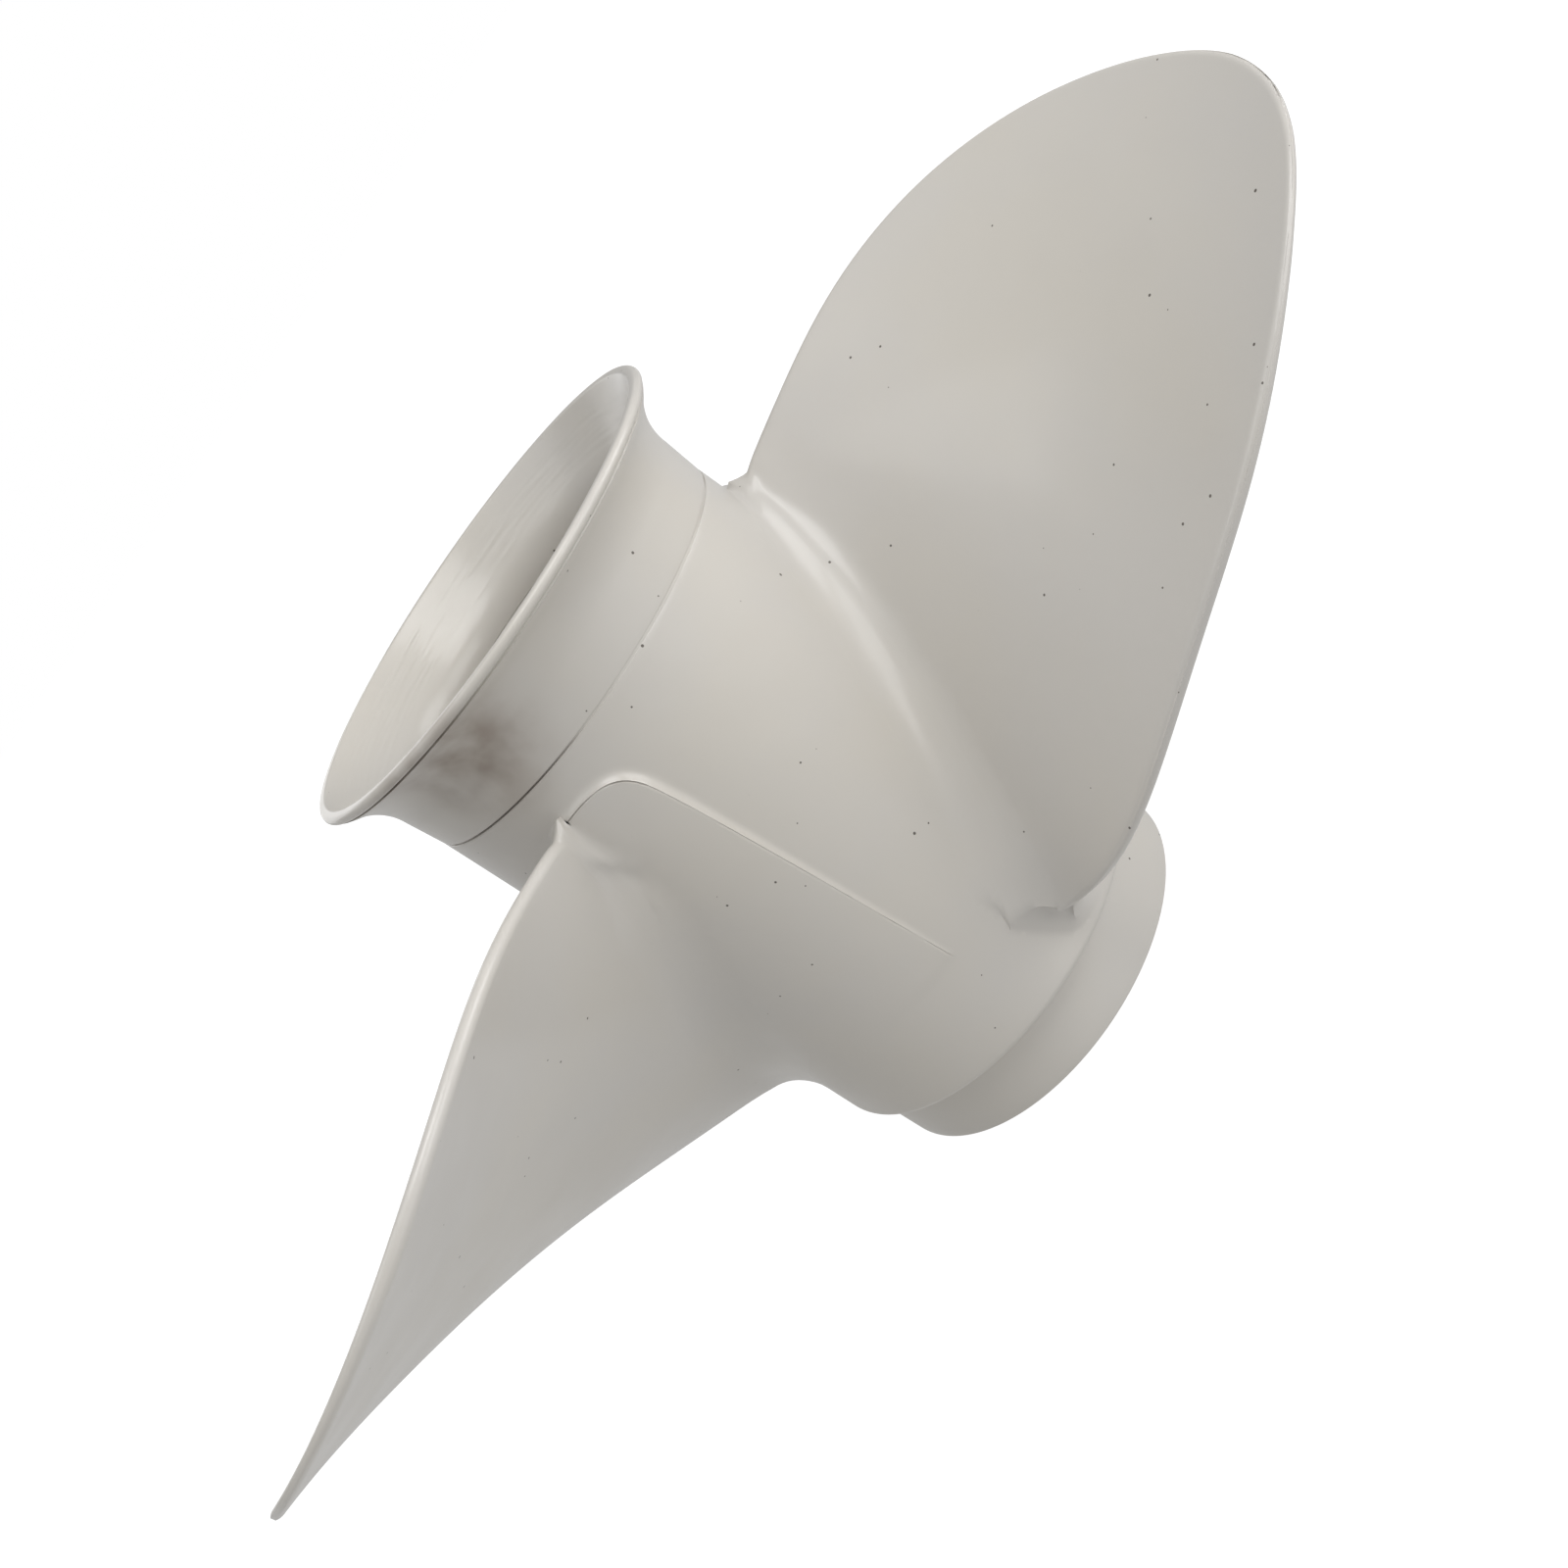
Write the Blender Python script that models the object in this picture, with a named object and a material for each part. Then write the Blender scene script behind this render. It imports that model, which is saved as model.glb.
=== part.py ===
"""Three-bladed outboard propeller with exhaust passages through its hub.

Metres, +Z up. The shaft's axis is Z, the front face of the collar lies on Z = 0 and the
flared aft ring points up, so the propeller stands on its collar. Seen from aft, which is
from above, it turns clockwise: each blade's leading edge lies low and its trailing edge
high. A blade is described on the unrolled cylinder at each radius: the arc around the
shaft runs towards the trailing edge, and Z rises with it at the blade's pitch.
"""

import math

import bmesh
import bpy
import numpy as np

MM = 0.001
SHARP_ANGLE = math.radians(35)
MERGE_DISTANCE = 0.01 * MM

# Outer barrel and front collar
SEGMENTS = 96
ROUNDING_STEPS = 4
COLLAR_RADIUS = 33.1 * MM
COLLAR_LENGTH = 12.1 * MM
COLLAR_CHAMFER = 0.3 * MM
BARREL_FRONT_RADIUS = 35.8 * MM
BARREL_SEAM_RADIUS = 34.3 * MM
BARREL_EDGE_RADIUS = 1.4 * MM
BARREL_INNER_FRONT = 30.0 * MM
BARREL_INNER_AFT = 31.2 * MM
SEAM_Z = 95.9 * MM
SPIGOT_RADIUS = 33.0 * MM
SPIGOT_LENGTH = 4.0 * MM
FIT_GAP = 0.3 * MM

# Flared aft ring
RIM_Z = 113.2 * MM
RIM_RADIUS = 40.8 * MM
LIP_RADIUS = 0.8 * MM
FLARE_START_Z = 102.4 * MM
FLARE_START_RADIUS = 34.7 * MM
FLARE_ARC_RADIUS = 9.7 * MM
FLARE_ARC_END = math.radians(57)
FLARE_STEPS = 5
LIP_START = math.radians(-50)
MOUTH_RADIUS = 38.7 * MM
MOUTH_CHAMFER = 0.5 * MM
INNER_EDGE_Z = 103.3 * MM

# Inner hub and ribs
HUB_OUTER_RADIUS = 19.5 * MM
HUB_BORE_RADIUS = 15.5 * MM
HUB_FRONT_Z = 6.0 * MM
HUB_AFT_Z = 82.0 * MM
RIB_COUNT = 3
RIB_THICKNESS = 5.0 * MM
RIB_FRONT_Z = 16.0 * MM
RIB_AFT_Z = 78.0 * MM
RIB_FIRST_ANGLE = math.radians(60)

# Rubber hub and drive sleeve
BUSHING_BORE_RADIUS = 11.2 * MM
BUSHING_INSET = 2.0 * MM
SLEEVE_RADIUS = BUSHING_BORE_RADIUS - FIT_GAP
SLEEVE_FRONT_Z = 4.0 * MM
SLEEVE_AFT_Z = 86.0 * MM
SPLINE_COUNT = 10
SPLINE_ROOT_RADIUS = 8.6 * MM
SPLINE_TIP_RADIUS = 7.4 * MM
SPLINE_TIP_SHARE = 0.34
SPLINE_ROOT_STEPS = (0.25, 0.5, 0.75)

# Blades: outline and twist. Heights run from 0 at the barrel to 1 at the tip
BLADE_COUNT = 3
FIRST_BLADE_ANGLE = math.radians(77.6)
ROOT_RADIUS = 34.5 * MM
TIP_RADIUS = 125.4 * MM
PITCH_TERMS = (362.0 * MM, -9.5 * MM, -95.0 * MM)
GENERATOR_TERMS = (81.8 * MM, 18.8 * MM, -15.1 * MM, 6.7 * MM)
TIP_SKEW = 43.3 * MM
TIP_ROUNDING = 4
STATION_HEIGHTS = (0.0, 0.15, 0.35, 0.6, 0.85, 1.0)
LEADING_ARCS = (37.3 * MM, 49.5 * MM, 59.0 * MM, 57.3 * MM, 47.9 * MM, 34.3 * MM)
TRAILING_ARCS = (3.2 * MM, 6.4 * MM, 13.6 * MM, 23.9 * MM, 31.2 * MM, 32.4 * MM)

# Blades: thickness and root fillet
ROOT_THICKNESS = 10.0 * MM
TIP_THICKNESS = 2.3 * MM
EDGE_THICKNESS = 2.0 * MM
THINNING_POWER = 0.8
SECTION_POWER = 2.2
ROOT_LEADING_EDGE_THICKNESS = 5.0 * MM
FILLET_RADIUS = 7.0 * MM
FILLET_REACH_PAST_EDGES = 0.4
ROOT_SINK = 1.5 * MM
FILLET_STEPS = 5
BLADE_STATIONS = 18
LAST_STATION = 0.3
CHORD_STEPS = 10
END_ANGLES = tuple(math.radians(angle) for angle in (25, 60))


def clear_scene():
    for leftover in list(bpy.data.objects):
        bpy.data.objects.remove(leftover, do_unlink=True)


def make_material(name, colour, roughness, metallic):
    material = bpy.data.materials.new(name)
    material.use_nodes = True
    shader = material.node_tree.nodes["Principled BSDF"]
    shader.inputs["Base Color"].default_value = (*colour, 1.0)
    shader.inputs["Roughness"].default_value = roughness
    shader.inputs["Metallic"].default_value = metallic
    return material


def add_object(name, shape, material=None):
    """Turn a bmesh into a smooth-shaded object with sharp corners kept."""
    bmesh.ops.recalc_face_normals(shape, faces=shape.faces)
    mesh = bpy.data.meshes.new(name)
    shape.to_mesh(mesh)
    shape.free()
    mesh.shade_smooth()
    mesh.set_sharp_from_angle(angle=SHARP_ANGLE)
    if material:
        mesh.materials.append(material)
    thing = bpy.data.objects.new(name, mesh)
    bpy.context.collection.objects.link(thing)
    return thing


def as_guide(thing):
    thing.hide_render = True
    thing.display_type = "WIRE"
    return thing


def unite(target, guide):
    """Join a guide's shape into the target without changing the guide."""
    join = target.modifiers.new("join " + guide.name, "BOOLEAN")
    join.operation = "UNION"
    join.solver = "EXACT"
    join.object = guide


def arc_points(centre, radius, start, end, steps):
    """Points in the (radius, z) half plane along an arc from start to end."""
    angles = np.linspace(start, end, steps + 1)
    return [(centre[0] + radius * math.cos(a), centre[1] + radius * math.sin(a)) for a in angles]


def turned_shape(profile, segments):
    """Spin a closed (radius, z) outline once around the Z axis."""
    shape = bmesh.new()
    corners = [shape.verts.new((radius, 0.0, z)) for radius, z in profile]
    edges = [shape.edges.new(pair) for pair in zip(corners, corners[1:] + corners[:1])]
    bmesh.ops.spin(shape, geom=corners + edges, cent=(0, 0, 0), axis=(0, 0, 1),
                   angle=math.tau, steps=segments, use_merge=True, use_duplicate=False)
    bmesh.ops.remove_doubles(shape, verts=shape.verts, dist=MERGE_DISTANCE)
    return shape


def barrel_radius(z):
    """Outer radius of the barrel, which widens a little towards the front."""
    share = (SEAM_Z - z) / (SEAM_Z - COLLAR_LENGTH)
    return BARREL_SEAM_RADIUS + (BARREL_FRONT_RADIUS - BARREL_SEAM_RADIUS) * min(share, 1.0)


def barrel_profile():
    """Closed section of the barrel: collar, rounded front edge, wall and aft spigot."""
    edge_centre = (BARREL_FRONT_RADIUS - BARREL_EDGE_RADIUS, COLLAR_LENGTH + BARREL_EDGE_RADIUS)
    shoulder_z = SEAM_Z - FIT_GAP
    outline = [(COLLAR_RADIUS - COLLAR_CHAMFER, 0.0), (COLLAR_RADIUS, COLLAR_CHAMFER)]
    outline += [(COLLAR_RADIUS, COLLAR_LENGTH)]
    outline += arc_points(edge_centre, BARREL_EDGE_RADIUS, -math.pi / 2, 0.0, ROUNDING_STEPS)
    outline += [(BARREL_SEAM_RADIUS, shoulder_z), (SPIGOT_RADIUS, shoulder_z)]
    outline += [(SPIGOT_RADIUS, SEAM_Z + SPIGOT_LENGTH), (BARREL_INNER_AFT, SEAM_Z + SPIGOT_LENGTH)]
    outline += [(BARREL_INNER_FRONT, 0.0)]
    return outline


def ring_profile():
    """Closed section of the flared ring: skirt over the spigot, flare, lip and inner cone."""
    lip_centre = (RIM_RADIUS - LIP_RADIUS, RIM_Z - LIP_RADIUS)
    flare_centre = (FLARE_START_RADIUS + FLARE_ARC_RADIUS, FLARE_START_Z)
    skirt_radius = SPIGOT_RADIUS + FIT_GAP
    shelf_z = SEAM_Z + SPIGOT_LENGTH + FIT_GAP
    outline = [(skirt_radius, SEAM_Z), (BARREL_SEAM_RADIUS, SEAM_Z)]
    outline += arc_points(flare_centre, FLARE_ARC_RADIUS, math.pi, math.pi - FLARE_ARC_END, FLARE_STEPS)
    outline += arc_points(lip_centre, LIP_RADIUS, LIP_START, math.pi / 2, ROUNDING_STEPS)
    outline += [(MOUTH_RADIUS + MOUTH_CHAMFER, RIM_Z), (MOUTH_RADIUS, RIM_Z - MOUTH_CHAMFER)]
    outline += [(BARREL_INNER_AFT, INNER_EDGE_Z), (BARREL_INNER_AFT, shelf_z), (skirt_radius, shelf_z)]
    return outline


def tube_profile(inner, outer, low, high):
    return [(inner, low), (outer, low), (outer, high), (inner, high)]


def rib_shape():
    """One straight rib from inside the hub's wall to inside the barrel's wall."""
    inner = (HUB_BORE_RADIUS + HUB_OUTER_RADIUS) / 2
    outer = (BARREL_INNER_AFT + BARREL_SEAM_RADIUS) / 2
    shape = bmesh.new()
    bmesh.ops.create_cube(shape, size=1.0)
    bmesh.ops.scale(shape, verts=shape.verts, vec=(outer - inner, RIB_THICKNESS, RIB_AFT_Z - RIB_FRONT_Z))
    middle = ((inner + outer) / 2, 0.0, (RIB_FRONT_Z + RIB_AFT_Z) / 2)
    bmesh.ops.translate(shape, verts=shape.verts, vec=middle)
    return shape


def spline_curve(values, height):
    """Natural cubic spline through a value at each station height."""
    knots = np.array(STATION_HEIGHTS)
    values = np.array(values)
    gaps = np.diff(knots)
    slopes = np.diff(values) / gaps
    system = np.eye(len(knots))
    right = np.zeros(len(knots))
    for i in range(1, len(knots) - 1):
        system[i, i - 1:i + 2] = gaps[i - 1], 2 * (gaps[i - 1] + gaps[i]), gaps[i]
        right[i] = 6 * (slopes[i] - slopes[i - 1])
    bends = np.linalg.solve(system, right)
    i = int(np.clip(np.searchsorted(knots, height) - 1, 0, len(knots) - 2))
    before, after = height - knots[i], knots[i + 1] - height
    cubic = (bends[i] * after ** 3 + bends[i + 1] * before ** 3) / (6 * gaps[i])
    start = (values[i] / gaps[i] - bends[i] * gaps[i] / 6) * after
    end = (values[i + 1] / gaps[i] - bends[i + 1] * gaps[i] / 6) * before
    return cubic + start + end


def power_sum(terms, height):
    return sum(term * height ** power for power, term in enumerate(terms))


def blade_edges(height):
    """Arcs from the generator line to the leading and the trailing edge, signed."""
    closing = math.sqrt(max(0.0, 1.0 - height ** TIP_ROUNDING))
    skew = TIP_SKEW * height ** 2
    leading = -skew - closing * spline_curve(LEADING_ARCS, height)
    trailing = -skew + closing * spline_curve(TRAILING_ARCS, height)
    return leading, trailing


def fillet_growth(rise):
    """How far the root fillet stands out of the blade at a height above the barrel."""
    if rise >= FILLET_RADIUS:
        return 0.0
    return FILLET_RADIUS - math.sqrt(FILLET_RADIUS ** 2 - (FILLET_RADIUS - rise) ** 2)


def edge_half_thickness(share, height):
    """Half the edge's thickness: thick at the root of the leading edge, where share is 0."""
    near_root = max(0.0, 1.0 - height / STATION_HEIGHTS[1])
    extra = (ROOT_LEADING_EDGE_THICKNESS - EDGE_THICKNESS) * near_root ** 2 * (1.0 - share)
    return (EDGE_THICKNESS + extra) / 2


def half_thickness(share, height):
    """Half the blade's thickness at a share of the chord from 0 (leading) to 1 (trailing)."""
    middle = (ROOT_THICKNESS + (TIP_THICKNESS - ROOT_THICKNESS) * height ** THINNING_POWER) / 2
    edge = edge_half_thickness(share, height)
    fullness = 1.0 - abs(2.0 * share - 1.0) ** SECTION_POWER
    return edge + (middle - edge) * fullness


def section_outline(height, growth):
    """Half of a section, leading to trailing: shares of the chord, overhangs and half widths."""
    points = []
    for angle in END_ANGLES:
        half = half_thickness(0.0, height)
        points.append((0.0, -half * math.cos(angle), half * math.sin(angle)))
    for i in range(CHORD_STEPS + 1):
        share = (1 - math.cos(math.pi * i / CHORD_STEPS)) / 2
        points.append((share, 0.0, half_thickness(share, height)))
    for angle in reversed(END_ANGLES):
        half = half_thickness(1.0, height)
        points.append((1.0, half * math.cos(angle), half * math.sin(angle)))
    spread = growth * FILLET_REACH_PAST_EDGES
    return [(share, over + spread * (2 * share - 1), half + growth) for share, over, half in points]


def section_points(rise, sink=0.0):
    """Closed loop of points around the blade at one height above the barrel."""
    height = rise / (TIP_RADIUS - ROOT_RADIUS)
    radius = ROOT_RADIUS + rise
    slope = math.atan2(power_sum(PITCH_TERMS, height), math.tau * radius)
    along = np.array((math.cos(slope), math.sin(slope)))
    across = np.array((-along[1], along[0]))
    start, end = (edge / along[0] for edge in blade_edges(height))
    origin = np.array((0.0, power_sum(GENERATOR_TERMS, height)))
    outline = section_outline(height, fillet_growth(rise))
    loop = [origin + along * (start + (end - start) * share + over) + across * half
            for share, over, half in outline]
    loop += [origin + along * (start + (end - start) * share + over) - across * half
             for share, over, half in reversed(outline)]
    blend = max(0.0, 1.0 - rise / (2 * FILLET_RADIUS))
    points = []
    for arc, z in loop:
        out = radius + (barrel_radius(z) - ROOT_RADIUS) * blend - sink
        points.append((out * math.cos(arc / radius), out * math.sin(arc / radius), z))
    return points


def blade_rises():
    """Heights of the sections: close together in the fillet and near the tip."""
    span = TIP_RADIUS - ROOT_RADIUS
    turns = [math.pi / 2 * i / FILLET_STEPS for i in range(FILLET_STEPS + 1)]
    fillet = [FILLET_RADIUS * (1 - math.cos(turn)) for turn in turns]
    start = math.sqrt(1 - FILLET_RADIUS / span)
    outer = [span * (1 - (start * (1 - i / BLADE_STATIONS)) ** 2) for i in range(1, BLADE_STATIONS)]
    tip = span * (1 - (start * LAST_STATION / BLADE_STATIONS) ** 2)
    return fillet + outer + [tip]


def blade_shape():
    """Skin the sections from just inside the barrel's wall to the tip."""
    shape = bmesh.new()
    loops = [section_points(0.0, ROOT_SINK)] + [section_points(rise) for rise in blade_rises()]
    rings = [[shape.verts.new(point) for point in loop] for loop in loops]
    count = len(rings[0])
    for low, high in zip(rings, rings[1:]):
        for i in range(count):
            j = (i + 1) % count
            shape.faces.new((low[i], low[j], high[j], high[i]))
    shape.faces.new(rings[0])
    shape.faces.new(rings[-1])
    bmesh.ops.triangulate(shape, faces=shape.faces)
    return shape


def spline_profile():
    """Inner outline of the drive sleeve: flat-sided teeth between root arcs."""
    pitch = math.tau / SPLINE_COUNT
    outline = []
    for tooth in range(SPLINE_COUNT):
        middle = tooth * pitch
        half_tip = pitch * SPLINE_TIP_SHARE / 2
        outline += [(SPLINE_TIP_RADIUS, middle - half_tip), (SPLINE_TIP_RADIUS, middle + half_tip)]
        outline += [(SPLINE_ROOT_RADIUS, middle + pitch * part) for part in SPLINE_ROOT_STEPS]
    return [(radius * math.cos(angle), radius * math.sin(angle)) for radius, angle in outline]


def sleeve_shape():
    """Tube with a round outside and a splined bore, with equal point counts on both."""
    bore = spline_profile()
    shape = bmesh.new()
    loops = []
    for z in (SLEEVE_FRONT_Z, SLEEVE_AFT_Z):
        for outside in (False, True):
            ring = []
            for x, y in bore:
                scale = SLEEVE_RADIUS / math.hypot(x, y) if outside else 1.0
                ring.append(shape.verts.new((x * scale, y * scale, z)))
            loops.append(ring)
    low_in, low_out, high_in, high_out = loops
    for a, b in ((low_in, low_out), (low_out, high_out), (high_out, high_in), (high_in, low_in)):
        for i in range(len(bore)):
            j = (i + 1) % len(bore)
            shape.faces.new((a[i], a[j], b[j], b[i]))
    return shape


def make_casting(material):
    casting = add_object("propeller_casting", turned_shape(barrel_profile(), SEGMENTS), material)
    tube = tube_profile(HUB_BORE_RADIUS, HUB_OUTER_RADIUS, HUB_FRONT_Z, HUB_AFT_Z)
    for i in range(RIB_COUNT):
        rib = as_guide(add_object(f"rib guide {i + 1}", rib_shape()))
        rib.rotation_euler.z = RIB_FIRST_ANGLE + math.tau * i / RIB_COUNT
        unite(casting, rib)
    unite(casting, as_guide(add_object("inner hub guide", turned_shape(tube, SEGMENTS))))
    for i in range(BLADE_COUNT):
        blade = as_guide(add_object(f"blade guide {i + 1}", blade_shape()))
        blade.rotation_euler.z = FIRST_BLADE_ANGLE + math.tau * i / BLADE_COUNT
        unite(casting, blade)


def make_ring(material):
    add_object("diffuser_ring", turned_shape(ring_profile(), SEGMENTS), material)


def make_bushing(material):
    profile = tube_profile(BUSHING_BORE_RADIUS, HUB_BORE_RADIUS - FIT_GAP,
                           HUB_FRONT_Z + BUSHING_INSET, HUB_AFT_Z - BUSHING_INSET)
    add_object("rubber_bushing", turned_shape(profile, SEGMENTS // 2), material)


def make_sleeve(material):
    add_object("splined_sleeve", sleeve_shape(), material)


def main():
    clear_scene()
    paint = make_material("grey_white_paint", (0.52, 0.50, 0.46), 0.38, 0.0)
    rubber = make_material("black_rubber", (0.02, 0.02, 0.02), 0.75, 0.0)
    brass = make_material("sleeve_brass", (0.60, 0.44, 0.20), 0.35, 1.0)
    make_casting(paint)
    make_ring(paint)
    make_bushing(rubber)
    make_sleeve(brass)


main()
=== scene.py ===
"""Outboard propeller, dressed for the camera: painted casting, flared ring and drive hub.

Metres, +Z along the shaft towards the flared ring, which points up. Angles run around +Z.
The casting's skin is laid out flat around the barrel, one third at a time, with a hole at
the foot of the blade. The blade is then drawn out of that hole, so no seam shows at the
root.
"""

import math

import bmesh
import bpy
import numpy as np
from bpy.props import FloatProperty, FloatVectorProperty, IntProperty, PointerProperty
from mathutils import Euler, Matrix, Vector, geometry, noise


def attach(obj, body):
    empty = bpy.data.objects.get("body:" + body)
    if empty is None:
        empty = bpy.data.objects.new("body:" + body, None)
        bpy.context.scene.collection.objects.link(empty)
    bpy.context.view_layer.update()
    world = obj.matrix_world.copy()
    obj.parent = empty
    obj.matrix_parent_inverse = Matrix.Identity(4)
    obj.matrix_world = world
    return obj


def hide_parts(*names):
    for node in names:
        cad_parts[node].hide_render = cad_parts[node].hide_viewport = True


bl_info = {
    "name": "Outboard propeller",
    "version": (1, 0, 0),
    "blender": (4, 5, 0),
    "location": "3D View > Sidebar > Propeller",
    "description": "Builds a painted three-bladed outboard propeller on its packed frame",
    "category": "Object",
}

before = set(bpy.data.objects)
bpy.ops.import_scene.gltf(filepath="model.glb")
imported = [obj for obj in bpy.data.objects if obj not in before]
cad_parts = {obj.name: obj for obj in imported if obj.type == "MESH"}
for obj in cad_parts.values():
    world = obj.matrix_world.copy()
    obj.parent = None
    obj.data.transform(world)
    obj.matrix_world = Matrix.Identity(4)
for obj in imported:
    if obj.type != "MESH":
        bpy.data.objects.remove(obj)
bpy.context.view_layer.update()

MM = 0.001
BODY = "root"
BLADES = 3
SECTOR = math.tau / BLADES
COLUMNS = 96
AROUND = COLUMNS * BLADES
MERGE_DISTANCE = 0.004 * MM
SHARP_ANGLE = math.radians(42)
STATION_HEIGHTS = (0.0, 0.15, 0.35, 0.6, 0.85, 1.0)


# Settings that a user would change

class BladeSettings(bpy.types.PropertyGroup):
    first_angle: FloatProperty(
        name="First blade", description="Angle of the first blade's generator line around the shaft",
        default=math.radians(77.6), subtype="ANGLE")
    root_radius: FloatProperty(
        name="Root radius", description="Radius of the barrel where the blades start",
        default=34.5 * MM, unit="LENGTH")
    tip_radius: FloatProperty(
        name="Tip radius", description="Radius of the circle that the blade tips run on",
        default=125.4 * MM, unit="LENGTH")
    pitch: FloatVectorProperty(
        name="Pitch", description="Advance for one turn at the root, and its change and bend towards the tip",
        default=(362 * MM, -9.5 * MM, -95 * MM), unit="LENGTH")
    generator: FloatVectorProperty(
        name="Generator line", description="Height of the blade's middle line and its change towards the tip",
        size=4, default=(81.8 * MM, 18.8 * MM, -15.1 * MM, 6.7 * MM), unit="LENGTH")
    tip_skew: FloatProperty(
        name="Tip skew", description="How far the tip is swept back along its arc",
        default=43.3 * MM, unit="LENGTH")
    tip_rounding: FloatProperty(
        name="Tip rounding", description="Higher values make a squarer blade tip", default=4.0, min=1.0)
    leading: FloatVectorProperty(
        name="Leading edge", description="Arc from the middle line to the leading edge at six heights",
        size=6, default=(37.3 * MM, 49.5 * MM, 59.0 * MM, 57.3 * MM, 47.9 * MM, 34.3 * MM),
        unit="LENGTH")
    trailing: FloatVectorProperty(
        name="Trailing edge", description="Arc from the middle line to the trailing edge at six heights",
        size=6, default=(3.2 * MM, 6.4 * MM, 13.6 * MM, 23.9 * MM, 31.2 * MM, 32.4 * MM),
        unit="LENGTH")
    root_thickness: FloatProperty(
        name="Root thickness", description="Thickness of the blade's middle at the barrel",
        default=10 * MM, unit="LENGTH")
    tip_thickness: FloatProperty(
        name="Tip thickness", description="Thickness of the blade's middle at the tip",
        default=2.3 * MM, unit="LENGTH")
    edge_thickness: FloatProperty(
        name="Edge thickness", description="Thickness of the rounded edge", default=2 * MM, unit="LENGTH")
    root_edge_thickness: FloatProperty(
        name="Leading edge at root", description="Thickness of the blunt leading edge at the barrel",
        default=5 * MM, unit="LENGTH")
    fillet: FloatProperty(
        name="Root fillet", description="Radius of the fillet between blade and barrel",
        default=7 * MM, unit="LENGTH")


class BarrelSettings(bpy.types.PropertyGroup):
    front_radius: FloatProperty(
        name="Front radius", description="Radius of the barrel behind its rounded front edge",
        default=35.8 * MM, unit="LENGTH")
    seam_radius: FloatProperty(
        name="Seam radius", description="Radius of the barrel where the ring joins it",
        default=34.3 * MM, unit="LENGTH")
    seam_height: FloatProperty(
        name="Seam height", description="Height of the joint with the ring", default=95.9 * MM, unit="LENGTH")
    front_rounding: FloatProperty(
        name="Front rounding", description="Radius of the barrel's front edge", default=1.4 * MM,
        unit="LENGTH")
    collar_radius: FloatProperty(
        name="Collar radius", description="Radius of the front collar", default=33.1 * MM, unit="LENGTH")
    collar_length: FloatProperty(
        name="Collar length", description="Length of the front collar", default=12.1 * MM, unit="LENGTH")
    bore_front: FloatProperty(
        name="Bore at front", description="Inner radius at the collar's end", default=30.0 * MM,
        unit="LENGTH")
    bore_aft: FloatProperty(
        name="Bore at ring", description="Inner radius at the ring", default=31.2 * MM, unit="LENGTH")
    pad_height: FloatProperty(
        name="Pad height", description="Step at the mould's parting line beside each blade",
        default=1.0 * MM, unit="LENGTH")


class RingSettings(bpy.types.PropertyGroup):
    rim_height: FloatProperty(
        name="Rim height", description="Height of the ring's rim", default=113.2 * MM, unit="LENGTH")
    rim_radius: FloatProperty(
        name="Rim radius", description="Radius of the ring's rim", default=40.8 * MM, unit="LENGTH")
    mouth_radius: FloatProperty(
        name="Mouth radius", description="Inner radius at the rim", default=38.7 * MM, unit="LENGTH")
    cone_height: FloatProperty(
        name="Cone height", description="Height of the line where the inner cone meets the bore",
        default=103.3 * MM, unit="LENGTH")


class HubSettings(bpy.types.PropertyGroup):
    outer_radius: FloatProperty(
        name="Hub radius", description="Outer radius of the inner hub", default=19.5 * MM, unit="LENGTH")
    bore_radius: FloatProperty(
        name="Hub bore", description="Bore of the inner hub", default=15.5 * MM, unit="LENGTH")
    rib_thickness: FloatProperty(
        name="Rib thickness", description="Thickness of the ribs that hold the inner hub",
        default=5 * MM, unit="LENGTH")
    sleeve_radius: FloatProperty(
        name="Sleeve radius", description="Outer radius of the drive sleeve", default=10.9 * MM,
        unit="LENGTH")
    splines: IntProperty(
        name="Splines", description="Number of teeth in the drive sleeve", default=10, min=6)


class FinishSettings(bpy.types.PropertyGroup):
    paint: FloatVectorProperty(
        name="Paint", description="Warm off-white of the paint", subtype="COLOR",
        default=(0.60, 0.575, 0.535), min=0.0, max=1.0)
    paint_roughness: FloatProperty(
        name="Paint roughness", description="Roughness of the semi-gloss paint", default=0.34,
        min=0.0, max=1.0, subtype="FACTOR")
    rubber: FloatVectorProperty(
        name="Rubber", description="Colour of the rubber hub", subtype="COLOR",
        default=(0.022, 0.021, 0.020), min=0.0, max=1.0)
    brass: FloatVectorProperty(
        name="Brass", description="Colour of the drive sleeve", subtype="COLOR",
        default=(0.60, 0.43, 0.19), min=0.0, max=1.0)


class StageSettings(bpy.types.PropertyGroup):
    camera_place: FloatVectorProperty(
        name="Camera place", description="Where the camera stands", default=(0.2740, 0.0, 0.1579),
        subtype="TRANSLATION", unit="LENGTH")
    camera_turn: FloatVectorProperty(
        name="Camera turn", description="How the camera is turned", subtype="EULER",
        default=(math.radians(56.102), math.radians(50.685), math.radians(62.098)))
    lens: FloatProperty(name="Lens", description="Focal length in millimetres on a 36 mm sensor",
                        default=41.84)
    floor_size: FloatProperty(name="Floor size", description="Width of the floor", default=24.0,
                              unit="LENGTH")


def settings():
    return bpy.context.scene.propeller


class PropellerSettings(bpy.types.PropertyGroup):
    blade: PointerProperty(type=BladeSettings)
    barrel: PointerProperty(type=BarrelSettings)
    ring: PointerProperty(type=RingSettings)
    hub: PointerProperty(type=HubSettings)
    finish: PointerProperty(type=FinishSettings)
    stage: PointerProperty(type=StageSettings)


# Shapes

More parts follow.
